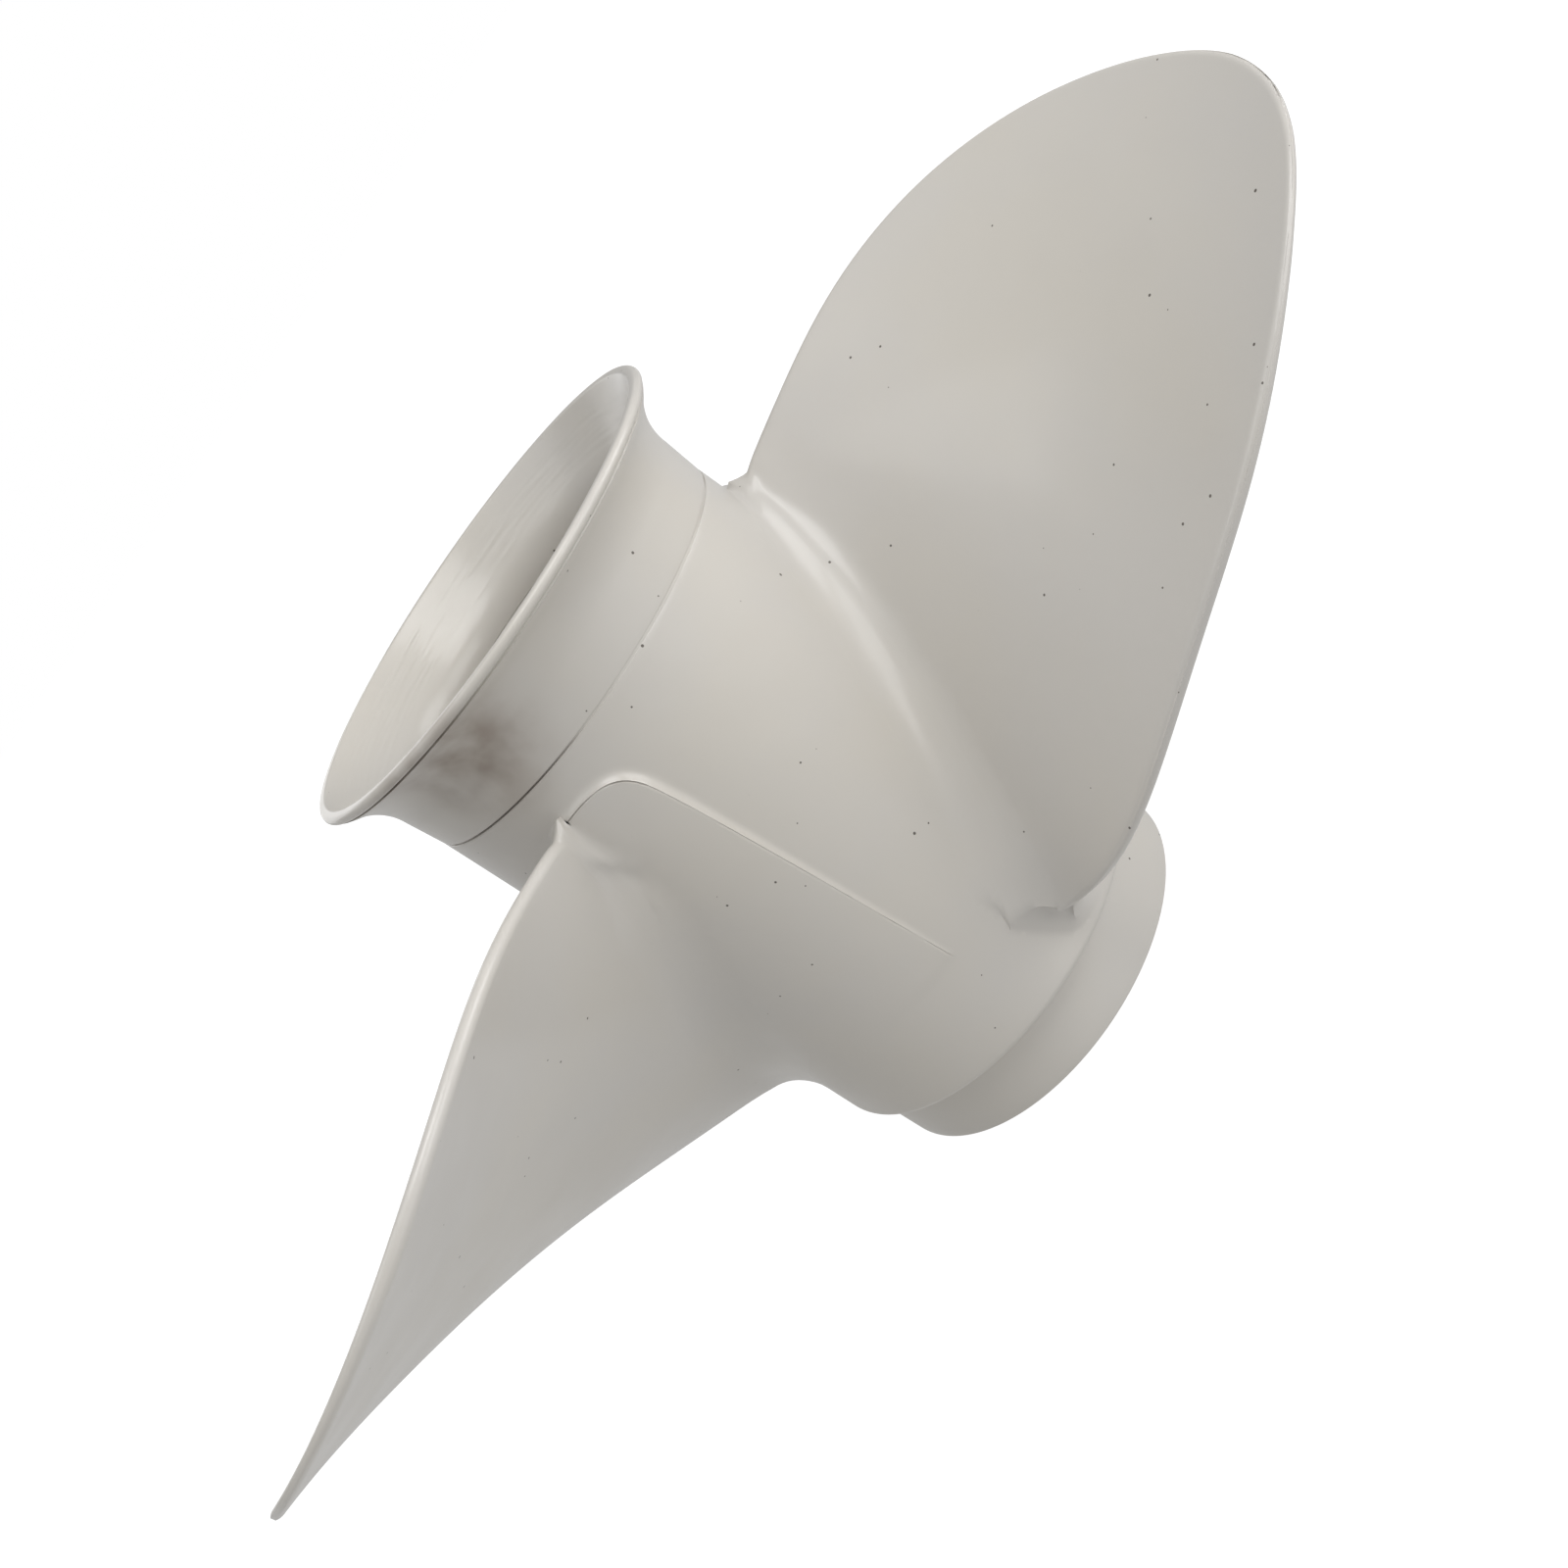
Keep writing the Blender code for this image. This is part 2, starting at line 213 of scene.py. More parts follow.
class Shape:
    """Points and faces that grow together and become one mesh."""

    def __init__(self):
        self.points = []
        self.faces = []

    def add(self, points, faces):
        start = len(self.points)
        self.points.extend(map(tuple, points))
        self.faces.extend(tuple(start + i for i in face) for face in faces)

    def add_grid(self, rows, close_rows=True, flip=False):
        """Skin a list of equally long point rows."""
        count = len(rows[0])
        faces = []
        steps = count if close_rows else count - 1
        for r in range(len(rows) - 1):
            for i in range(steps):
                j = (i + 1) % count
                face = (r * count + i, r * count + j, (r + 1) * count + j, (r + 1) * count + i)
                faces.append(face[::-1] if flip else face)
        self.add(np.concatenate([np.asarray(row) for row in rows]), faces)

    def finish(self, name, material, merge=MERGE_DISTANCE):
        mesh = bpy.data.meshes.new(name)
        mesh.from_pydata(self.points, [], self.faces)
        clean(mesh, merge)
        mesh.materials.append(material)
        thing = bpy.data.objects.new(name, mesh)
        bpy.context.collection.objects.link(thing)
        return thing


def clean(mesh, merge):
    """Join touching points, point all faces outwards and shade smooth with sharp corners."""
    shape = bmesh.new()
    shape.from_mesh(mesh)
    bmesh.ops.remove_doubles(shape, verts=shape.verts, dist=merge)
    bmesh.ops.dissolve_degenerate(shape, edges=shape.edges, dist=merge / 4)
    bmesh.ops.recalc_face_normals(shape, faces=shape.faces)
    shape.to_mesh(mesh)
    shape.free()
    mesh.shade_smooth()
    mesh.set_sharp_from_angle(angle=SHARP_ANGLE)


def arc_points(centre, radius, start, end, steps):
    """Points in the (radius, z) half plane along an arc from start to end, in degrees."""
    angles = np.radians(np.linspace(start, end, steps + 1))
    return [(centre[0] + radius * math.cos(a), centre[1] + radius * math.sin(a)) for a in angles]


def straight(start, end, steps):
    """Points after start, up to and with end, on a straight line."""
    return [tuple(np.array(start) + (np.array(end) - np.array(start)) * i / steps)
            for i in range(1, steps + 1)]


def turned_rows(profile, angles, wander=None):
    """A row of points around the shaft for each (radius, z) of the profile."""
    rows = []
    for radius, z in profile:
        out = np.full(len(angles), radius)
        if wander is not None:
            out = out + wander(angles, radius, z)
        rows.append(np.stack([out * np.cos(angles), out * np.sin(angles),
                              np.full(len(angles), z)], axis=1))
    return rows


def full_turn(count=AROUND):
    return np.arange(count) * math.tau / count


def soft_noise(x, y, z, seed, scale):
    """Smooth noise from -1 to 1 at a point, with features about as large as scale."""
    return noise.noise(Vector((x / scale + seed, y / scale - seed, z / scale + 2 * seed)))


# Barrel skin with its parting line

def barrel_radius(z):
    barrel = settings().barrel
    low = barrel.collar_length
    share = np.clip((barrel.seam_height - z) / (barrel.seam_height - low), 0.0, 1.0)
    return barrel.seam_radius + (barrel.front_radius - barrel.seam_radius) * share


# Parting line beside a blade, from its trailing root around the corner to the next blade's
# leading root: degrees from the blade's middle line, and height in millimetres
PARTING_LINE = (
    (0.6, 88.0), (5.8, 88.9), (9.7, 89.2), (14.1, 89.4), (17.6, 89.3), (20.6, 89.0),
    (23.1, 88.4), (25.2, 87.5), (26.7, 86.3), (27.9, 84.5), (28.5, 82.2), (29.3, 77.8),
    (30.5, 67.9), (31.6, 57.7), (32.6, 47.2), (33.5, 38.2), (34.2, 30.5))
PARTING_RADIUS = 35.0 * MM
PAD_FADE = 26.0 * MM
STEP_WIDTHS = (1.7 * MM, 0.45 * MM)
CREVICE_WIDTH = 0.34 * MM
CREVICE_DEPTH = 0.62 * MM


def smooth_line(points, spacing):
    """Round off a line of 2D points and space new ones evenly along it."""
    points = np.array(points, dtype=float)
    for _ in range(3):
        quarter = points[:-1] * 0.75 + points[1:] * 0.25
        three = points[:-1] * 0.25 + points[1:] * 0.75
        middle = np.stack([quarter, three], axis=1).reshape(-1, 2)
        points = np.concatenate([points[:1], middle, points[-1:]])
    lengths = np.concatenate([[0.0], np.cumsum(np.hypot(*np.diff(points, axis=0).T))])
    count = max(2, int(round(lengths[-1] / spacing)))
    at = np.linspace(0.0, lengths[-1], count + 1)
    return np.stack([np.interp(at, lengths, points[:, k]) for k in (0, 1)], axis=1)


def parting_line():
    """The parting line on the unrolled barrel, as arc and height in metres."""
    line = [(math.radians(a) * PARTING_RADIUS, z * MM) for a, z in PARTING_LINE]
    return smooth_line(line, 0.8 * MM)


def line_distance(points, line):
    """Signed distance from a line (positive on its left) and the share of its length."""
    starts, ends = line[:-1], line[1:]
    along = ends - starts
    size = np.hypot(along[:, 0], along[:, 1])
    unit = along / size[:, None]
    passed = np.concatenate([[0.0], np.cumsum(size)])
    best = np.full(len(points), 1e9)
    signed = np.zeros(len(points))
    share = np.zeros(len(points))
    for k in range(len(starts)):
        offset = points - starts[k]
        t = np.clip(offset @ unit[k], 0.0, size[k])
        nearest = offset - t[:, None] * unit[k]
        gap = np.hypot(nearest[:, 0], nearest[:, 1])
        side = unit[k][0] * offset[:, 1] - unit[k][1] * offset[:, 0]
        closer = gap < best
        best = np.where(closer, gap, best)
        signed = np.where(closer, np.where(side >= 0, gap, -gap), signed)
        share = np.where(closer, (passed[k] + t) / passed[-1], share)
    return signed, share


def pad_height(share):
    """Height of the step along the parting line, low at both ends."""
    corner = 0.25
    rise = np.clip(share / corner, 0.0, 1.0)
    fall = np.clip((1.0 - share) / (1.0 - corner), 0.0, 1.0)
    return settings().barrel.pad_height * np.where(share < corner, 1.15 - 0.15 * rise, 0.15 + 0.85 * fall)


def skin_lift(points, line):
    """How far the barrel's skin stands out of its plain turned surface."""
    signed, share = line_distance(points, line)
    height = pad_height(share)
    width = STEP_WIDTHS[0] + (STEP_WIDTHS[1] - STEP_WIDTHS[0]) * share
    outside = np.clip(1.0 - signed / width, 0.0, 1.0) ** 2
    inside = np.clip(1.0 + signed / PAD_FADE, 0.0, 1.0)
    inside = inside * inside * (3.0 - 2.0 * inside)
    lift = height * np.where(signed > 0, outside, inside)
    ends = np.clip(share / 0.02, 0.0, 1.0) * np.clip((1.0 - share) / 0.01, 0.0, 1.0)
    return lift * ends


def inside_loop(points, loop):
    """Which points lie inside a closed 2D loop."""
    x, y = points[:, 0], points[:, 1]
    hit = np.zeros(len(points), dtype=bool)
    x1, y1 = loop[-1]
    for x2, y2 in loop:
        crosses = (y1 > y) != (y2 > y)
        if y1 != y2:
            hit ^= crosses & (x < (x2 - x1) * (y - y1) / (y2 - y1) + x1)
        x1, y1 = x2, y2
    return hit


# Blade

EDGE_STEPS = 7
CHORD_STEPS = 44
FILLET_STATIONS = 12
BLADE_STATIONS = 62


def spline_curve(values, height):
    """Natural cubic spline through a value at each station height."""
    knots = np.array(STATION_HEIGHTS)
    values = np.array(values)
    gaps = np.diff(knots)
    slopes = np.diff(values) / gaps
    system = np.eye(len(knots))
    right = np.zeros(len(knots))
    for i in range(1, len(knots) - 1):
        system[i, i - 1:i + 2] = gaps[i - 1], 2 * (gaps[i - 1] + gaps[i]), gaps[i]
        right[i] = 6 * (slopes[i] - slopes[i - 1])
    bends = np.linalg.solve(system, right)
    i = int(np.clip(np.searchsorted(knots, height) - 1, 0, len(knots) - 2))
    before, after = height - knots[i], knots[i + 1] - height
    cubic = (bends[i] * after ** 3 + bends[i + 1] * before ** 3) / (6 * gaps[i])
    start = (values[i] / gaps[i] - bends[i] * gaps[i] / 6) * after
    end = (values[i + 1] / gaps[i] - bends[i + 1] * gaps[i] / 6) * before
    return cubic + start + end


def power_sum(terms, height):
    return sum(term * height ** power for power, term in enumerate(terms))


def blade_span():
    blade = settings().blade
    return blade.tip_radius - blade.root_radius


def blade_slope(height):
    blade = settings().blade
    radius = blade.root_radius + blade_span() * height
    return math.atan2(power_sum(blade.pitch, height), math.tau * radius)


def blade_reach(height):
    """Slanted distances from the middle line to the two edges' outermost points."""
    blade = settings().blade
    closing = math.sqrt(max(0.0, 1.0 - height ** blade.tip_rounding))
    skew = blade.tip_skew * height ** 2
    leading = -skew - closing * spline_curve(blade.leading, height)
    trailing = -skew + closing * spline_curve(blade.trailing, height)
    tilt = math.cos(blade_slope(height))
    overhang = blade.edge_thickness / 2 * min(1.0, closing * 4.0)
    return leading / tilt - overhang, trailing / tilt + overhang


def middle_point(height, distance):
    """Point of the blade's middle surface, as arc and height on its own cylinder."""
    slope = blade_slope(height)
    z = power_sum(settings().blade.generator, height)
    return distance * math.cos(slope), z + distance * math.sin(slope)


def wrap(arc, z, radius):
    return radius * np.cos(arc / radius), radius * np.sin(arc / radius), z


def outline_points(count=260):
    """The blade's outline in space, for the distance from any point to the edge."""
    heights = 1.0 - (1.0 - np.linspace(0.0, 1.0, count)) ** 2
    blade = settings().blade
    sides = ([], [])
    for height in heights:
        radius = blade.root_radius + blade_span() * height
        for side, reach in zip(sides, blade_reach(height)):
            arc, z = middle_point(height, reach)
            side.append(wrap(arc, z, radius))
    return np.array(sides[0] + sides[1][::-1])


def fillet_growth(rise, radius):
    """How far a root fillet stands out of the blade at a height above the barrel."""
    left = np.clip(radius - rise, 0.0, None)
    return radius - np.sqrt(np.clip(radius ** 2 - left ** 2, 0.0, None))


def fade(share):
    """Smooth step from 0 to 1."""
    share = np.clip(share, 0.0, 1.0)
    return share * share * (3.0 - 2.0 * share)


TRAILING_FILLETS = (4.4 * MM, 3.2 * MM)
TRAILING_RUN = 2.4 * MM
LEADING_FILLET = 9.5 * MM
LEADING_FILLET_WIDTH = 5.6 * MM
LEADING_RUN = 3.3 * MM
CUT_RISE = 5.0 * MM
CUT_FACING = (-0.886, -0.463)
CUT_DISTANCE = 23.9 * MM
CUT_RUN = 4.2 * MM
CUT_LAST = 26


def chord_places(length, caps):
    """Distances from the leading end, close together at both rounded ends."""
    first = min(caps[0], 0.3 * length)
    last = min(caps[1], 0.3 * length)
    turn = np.linspace(0.0, math.pi / 2, EDGE_STEPS + 1)
    start = first * (1.0 - np.cos(turn))
    end = length - last * (1.0 - np.cos(turn[::-1]))
    i = np.arange(1, CHORD_STEPS) / CHORD_STEPS
    spread = 0.45 * i + 0.55 * (1.0 - np.cos(math.pi * i)) / 2
    return np.concatenate([start, first + (length - last - first) * spread, end])


def blade_section(rise, outline):
    """Closed loop around the blade: pressure side from leading to trailing edge, then back."""
    blade = settings().blade
    height = rise / blade_span()
    radius = blade.root_radius + rise
    slope = blade_slope(height)
    leading, trailing = blade_reach(height)
    near_root = max(0.0, 1.0 - height / STATION_HEIGHTS[1]) ** 2
    edge = blade.edge_thickness / 2
    blunt = edge + (blade.root_edge_thickness / 2 - edge) * near_root
    thin = 1.0 - 0.35 * float(fade((height - 0.7) / 0.3))
    lead_run = LEADING_RUN * max(0.0, 1.0 - rise / CUT_RISE) ** 1.7
    trail_run = TRAILING_RUN * min(1.0, max(0.0, 1.0 - (rise - 1.1 * MM) / (2.6 * MM))) ** 1.5
    leading -= lead_run
    trailing += trail_run
    caps = (edge + 1.4 * lead_run, edge + trail_run)
    length = trailing - leading
    places = chord_places(length, caps)
    share = places / length
    middle = (blade.root_thickness
              + (blade.tip_thickness - blade.root_thickness) * height ** 0.8) / 2
    edge_line = edge + (blunt - edge) * (1.0 - share)
    body = thin * (edge_line + (middle - edge_line) * (1.0 - np.abs(2 * share - 1.0) ** 2.2))
    arc = places * math.cos(slope) + leading * math.cos(slope)
    z = power_sum(blade.generator, height) + (leading + places) * math.sin(slope)
    x, y, z3 = wrap(arc, z, radius)
    spots = np.stack([x, y, z3], axis=1)
    to_edge = np.array([np.sqrt(((outline - spot) ** 2).sum(axis=1)).min() for spot in spots])
    from_lead, from_trail = places, length - places
    tip_full = rounded_end(to_edge / edge, 2.0) if rise > blade.fillet else 1.0
    crisp = 2.0 + 2.5 * float(fade((0.9 - height) / 0.4))
    to_trail, to_lead = fade((share - 0.74) / 0.22), fade((0.28 - share) / 0.2)
    fillet = blade.fillet + (LEADING_FILLET - blade.fillet) * to_lead
    fillet = fillet + (TRAILING_FILLETS[0] - blade.fillet) * to_trail
    back_fillet = blade.fillet + (TRAILING_FILLETS[1] - blade.fillet) * to_trail
    growth = np.minimum(fillet_growth(rise, fillet),
                        LEADING_FILLET_WIDTH + 4 * MM * fade((share - 0.09) / 0.1))
    at_foot = fade(1.0 - rise / (4 * MM))
    trail_cap = caps[1] + 6 * MM * at_foot
    pointed = 2.0 - 0.6 * float(at_foot)
    trail_full = rounded_end(from_trail / trail_cap, pointed)
    ends = np.minimum(rounded_end(from_lead / caps[0], crisp), trail_full)
    back_ends = np.minimum(rounded_end(from_lead / caps[0], 2.0), trail_full)
    half = (body + growth) * np.minimum(ends, tip_full)
    back_half = (body + fillet_growth(rise, back_fillet)) * np.minimum(back_ends, tip_full)
    across = np.array((-math.sin(slope), math.cos(slope)))
    pressure_side = np.stack([arc + across[0] * half, z + across[1] * half], axis=1)
    suction_side = np.stack([arc - across[0] * back_half, z - across[1] * back_half], axis=1)
    pressure_side = cut_corner(pressure_side, rise, radius)
    loop = np.concatenate([pressure_side, suction_side[-2:0:-1]])
    barrel = settings().barrel
    lowest = barrel.collar_length + barrel.front_rounding + 0.4 * MM
    loop[:, 1] = np.where(rise < blade.fillet, np.maximum(loop[:, 1], lowest), loop[:, 1])
    return loop


def cut_corner(side, rise, radius):
    """Flat where the pressure side's fillet is cut off at the leading root, with one crisp edge."""
    if rise >= CUT_RISE:
        return side
    facing = np.array(CUT_FACING)
    flat = np.stack([side[:, 0] / radius * PARTING_RADIUS, side[:, 1]], axis=1)
    limit = CUT_DISTANCE + CUT_RUN * (1.0 - rise / CUT_RISE) ** 2.6
    past = flat @ facing - limit
    over = np.nonzero(past[:CUT_LAST] > 0)[0]
    if len(over) == 0:
        return side
    last = over[-1]
    corner = flat[last] + past[last] / (past[last] - past[last + 1]) * (flat[last + 1] - flat[last])
    nose = flat[0] - max(past[0], 0.0) * facing
    rest = np.concatenate([[corner], flat[last + 1:CUT_LAST + 2]])
    lengths = np.concatenate([[0.0], np.cumsum(np.hypot(*np.diff(rest, axis=0).T))])
    at = np.linspace(0.0, lengths[-1], CUT_LAST + 2 - EDGE_STEPS)
    rest = np.stack([np.interp(at, lengths, rest[:, k]) for k in (0, 1)], axis=1)
    front = nose + (corner - nose) * np.linspace(0.0, 1.0, EDGE_STEPS + 1)[:-1, None]
    moved = np.concatenate([front, rest, flat[CUT_LAST + 2:]])
    moved = flat + (moved - flat) * fade((CUT_RISE - rise) / MM)
    return np.stack([moved[:, 0] * radius / PARTING_RADIUS, moved[:, 1]], axis=1)


def rounded_end(share, power):
    """Fullness of a rounded end: 0 at its tip, 1 once it is as thick as the body."""
    left = np.clip(1.0 - share, 0.0, 1.0)
    return (1.0 - left ** power) ** (1.0 / power)


def blade_rises():
    """Heights of the sections: close together in the fillet and near the tip."""
    fillet = settings().blade.fillet
    span = blade_span()
    turns = np.linspace(0.0, math.pi / 2, FILLET_STATIONS + 1)
    low = fillet * (1 - np.cos(turns))
    low = np.sort(np.concatenate([low, np.arange(1, 5) * 1.1 * MM]))
    low = low[np.concatenate([[True], np.diff(low) > 0.12 * MM])]
    start = math.sqrt(1 - fillet / span)
    steps = np.arange(1, BLADE_STATIONS) / BLADE_STATIONS
    return np.concatenate([low, span * (1 - (start * (1 - steps)) ** 2), [span * 0.99998]])


def blade_rows(line):
    """Rows of points in space for one blade at angle zero, from its foot to its tip."""
    blade = settings().blade
    outline = outline_points()
    rows = []
    for rise in blade_rises():
        section = blade_section(rise, outline)
        radius = blade.root_radius + rise
        angle = section[:, 0] / radius
        blend = max(0.0, 1.0 - rise / (2 * blade.fillet))
        unrolled = np.stack([angle * PARTING_RADIUS, section[:, 1]], axis=1)
        lift = skin_lift(unrolled, line) * fade(1.0 - rise / (1.2 * blade.fillet))
        out = radius + (barrel_radius(section[:, 1]) - blade.root_radius) * blend + lift
        rows.append(np.stack([out * np.cos(angle), out * np.sin(angle), section[:, 1]], axis=1))
    return rows


def turn_points(points, angle):
    c, s = math.cos(angle), math.sin(angle)
    points = np.asarray(points)
    return np.stack([points[:, 0] * c - points[:, 1] * s, points[:, 0] * s + points[:, 1] * c,
                     points[:, 2]], axis=1)


SECTOR_START = math.radians(-82)
SKIN_SPACING = 1.0 * MM
LINE_OFFSETS = (-1.0 * MM, -0.5 * MM, -CREVICE_WIDTH, -CREVICE_WIDTH / 2, 0.0, 0.2 * MM, 0.5 * MM,
                0.85 * MM, 1.25 * MM, 1.75 * MM, 2.5 * MM)


def offset_line(line, distance):
    """The line moved sideways to its left."""
    along = np.gradient(line, axis=0)
    along /= np.hypot(along[:, 0], along[:, 1])[:, None]
    return line + distance * np.stack([-along[:, 1], along[:, 0]], axis=1)


def skin_sector(foot, line, low, high):
    """Flat triangles between the blade's foot and the sector's border, then wrapped round."""
    width = SECTOR * PARTING_RADIUS
    left = SECTOR_START * PARTING_RADIUS
    columns = left + width * np.arange(COLUMNS + 1) / COLUMNS
    rows = np.linspace(low, high, 84)
    border = [(x, low) for x in columns] + [(columns[-1], z) for z in rows[1:]]
    border += [(x, high) for x in columns[::-1][1:]] + [(columns[0], z) for z in rows[::-1][1:-1]]
    foot_loop = np.stack([foot[:, 0], foot[:, 1]], axis=1)
    chains = [offset_line(line, offset) for offset in LINE_OFFSETS]
    points = list(border)
    edges = [(i, (i + 1) % len(border)) for i in range(len(border))]
    start = len(points)
    points += [tuple(p) for p in foot_loop]
    edges += [(start + i, start + (i + 1) % len(foot_loop)) for i in range(len(foot_loop))]
    near = [foot_loop, np.array(border)]
    for chain in chains:
        chain = chain[~inside_loop(chain, foot_loop)]
        gap = np.sqrt(((chain[:, None] - foot_loop[None]) ** 2).sum(axis=2)).min(axis=1)
        chain = chain[gap > 0.3 * MM]
        start = len(points)
        points += [tuple(p) for p in chain]
        edges += [(start + i, start + i + 1) for i in range(len(chain) - 1)
                  if np.hypot(*(chain[i + 1] - chain[i])) < 2.5 * MM]
        near.append(chain)
    busy = np.concatenate(near)
    across = int(width / SKIN_SPACING)
    up = int((high - low) / (SKIN_SPACING * 0.87))
    filler = []
    for j in range(1, up):
        for i in range(across):
            x = left + width * (i + (0.25 if j % 2 else 0.75)) / across
            filler.append((x, low + (high - low) * j / up))
    filler = np.array(filler)
    filler = filler[~inside_loop(filler, foot_loop)]
    gap = np.array([np.hypot(busy[:, 0] - p[0], busy[:, 1] - p[1]).min() for p in filler])
    filler = filler[gap > 0.5 * SKIN_SPACING]
    points += [tuple(p) for p in filler]
    scaled = [Vector((p[0] / MM, p[1] / MM)) for p in points]
    flat, _, faces, _, _, _ = geometry.delaunay_2d_cdt(scaled, edges, [], 0, 1e-6)
    flat = np.array([(p[0], p[1]) for p in flat]) * MM
    faces = [tuple(face) for face in faces]
    middles = np.array([flat[list(face)].mean(axis=0) for face in faces])
    outside = ~inside_loop(middles, foot_loop)
    faces = [face for face, keep in zip(faces, outside) if keep]
    lift = skin_lift(flat, line)
    signed, share = line_distance(flat, line)
    angle = flat[:, 0] / PARTING_RADIUS
    rough = np.array([soft_noise(a * 35, z / MM, 0.0, 3.0, 1.1) for a, z in zip(angle, flat[:, 1])])
    patchy = np.array([soft_noise(a * 35, z / MM, 0.0, 8.0, 7.0) for a, z in zip(angle, flat[:, 1])])
    open_part = np.clip(1.25 - 3.5 * share, 0.16, 1.0) * np.clip(0.75 + 1.2 * patchy, 0.1, 1.0)
    trough = np.clip(1.0 - np.abs(signed + CREVICE_WIDTH / 2) / (CREVICE_WIDTH * 0.45), 0.0, 1.0)
    lift = lift - CREVICE_DEPTH * trough * open_part * np.clip(1.0 + 1.2 * rough, 0.3, 1.6)
    out = barrel_radius(flat[:, 1]) + lift
    wrapped = np.stack([out * np.cos(angle), out * np.sin(angle), flat[:, 1]], axis=1)
    return wrapped, faces


def casting_shape():
    """Barrel skin, blades, collar, wall and bore in one closed skin."""
    p = settings()
    barrel, blade = p.barrel, p.blade
    line = parting_line()
    rows = blade_rows(line)
    outline = outline_points()
    foot = blade_section(0.0, outline)
    angle = foot[:, 0] / blade.root_radius
    foot = np.stack([angle * PARTING_RADIUS, foot[:, 1]], axis=1)
    low = barrel.collar_length + barrel.front_rounding
    gap = 0.3 * MM
    high = barrel.seam_height - gap - 0.15 * MM
    skin, faces = skin_sector(foot, line, low, high)
    shape = Shape()
    for i in range(BLADES):
        turn = blade.first_angle + i * SECTOR
        shape.add(turn_points(skin, turn), faces)
        shape.add_grid([turn_points(row, turn) for row in rows])
        tip = turn_points(rows[-1], turn)
        shape.add(tip, [tuple(range(len(tip)))])
    angles = blade.first_angle + SECTOR_START + full_turn()
    shape.add_grid(turned_rows(barrel_profile(low, high), angles))
    return shape


def barrel_profile(low, high):
    """Open section from the skin's aft border through the bore to its front border."""
    barrel = settings().barrel
    gap = 0.3 * MM
    shoulder = barrel.seam_height - gap
    spigot = barrel.seam_radius - 1.3 * MM
    top = barrel.seam_height + 4 * MM
    aft = float(barrel_radius(high))
    collar, length = barrel.collar_radius, barrel.collar_length
    rounding = barrel.front_rounding
    front = float(barrel_radius(low))
    points = [(aft, high)] + arc_points((aft - 0.15 * MM, high), 0.15 * MM, 0, 90, 3)[1:]
    points += [(spigot, shoulder), (spigot, top - 0.4 * MM)]
    points += arc_points((spigot - 0.4 * MM, top - 0.4 * MM), 0.4 * MM, 0, 90, 3)[1:]
    points += arc_points((barrel.bore_aft + 0.1 * MM, top - 0.1 * MM), 0.1 * MM, 90, 180, 2)
    points += straight(points[-1], (barrel.bore_front, 0.6 * MM), 24)
    points += arc_points((barrel.bore_front + 0.6 * MM, 0.6 * MM), 0.6 * MM, 180, 270, 4)[1:]
    points += straight(points[-1], (collar - 0.4 * MM, 0.0), 2)
    points += arc_points((collar - 0.4 * MM, 0.4 * MM), 0.4 * MM, -90, 0, 4)[1:]
    points += straight(points[-1], (collar, length - 0.35 * MM), 6)
    points += arc_points((collar + 0.35 * MM, length - 0.35 * MM), 0.35 * MM, 180, 90, 3)[1:]
    centre = (front - rounding, length + rounding)
    points += arc_points(centre, rounding, -90, 0, 8)
    return points


# Flared ring

# By degrees around the shaft, in millimetres: how deep the corner under the lip is, how high
# the scraper marks in the mouth stand, and how deep the paint lies in the joint
UNDERCUT = ((0, 0.0), (150, 0.1), (230, 0.15), (270, 0.4), (325, 0.4), (345, 0.12))
SCRAPED = ((0, 0.03), (120, 0.03), (185, 0.07), (215, 0.2), (245, 0.1), (300, 0.02))
JOINT_DEPTH = ((0, 0.07), (25, 0.05), (45, 0.12), (80, 0.25), (140, 0.18), (200, 0.1), (250, 0.3),
               (300, 0.5), (332, 0.55), (348, 0.15))


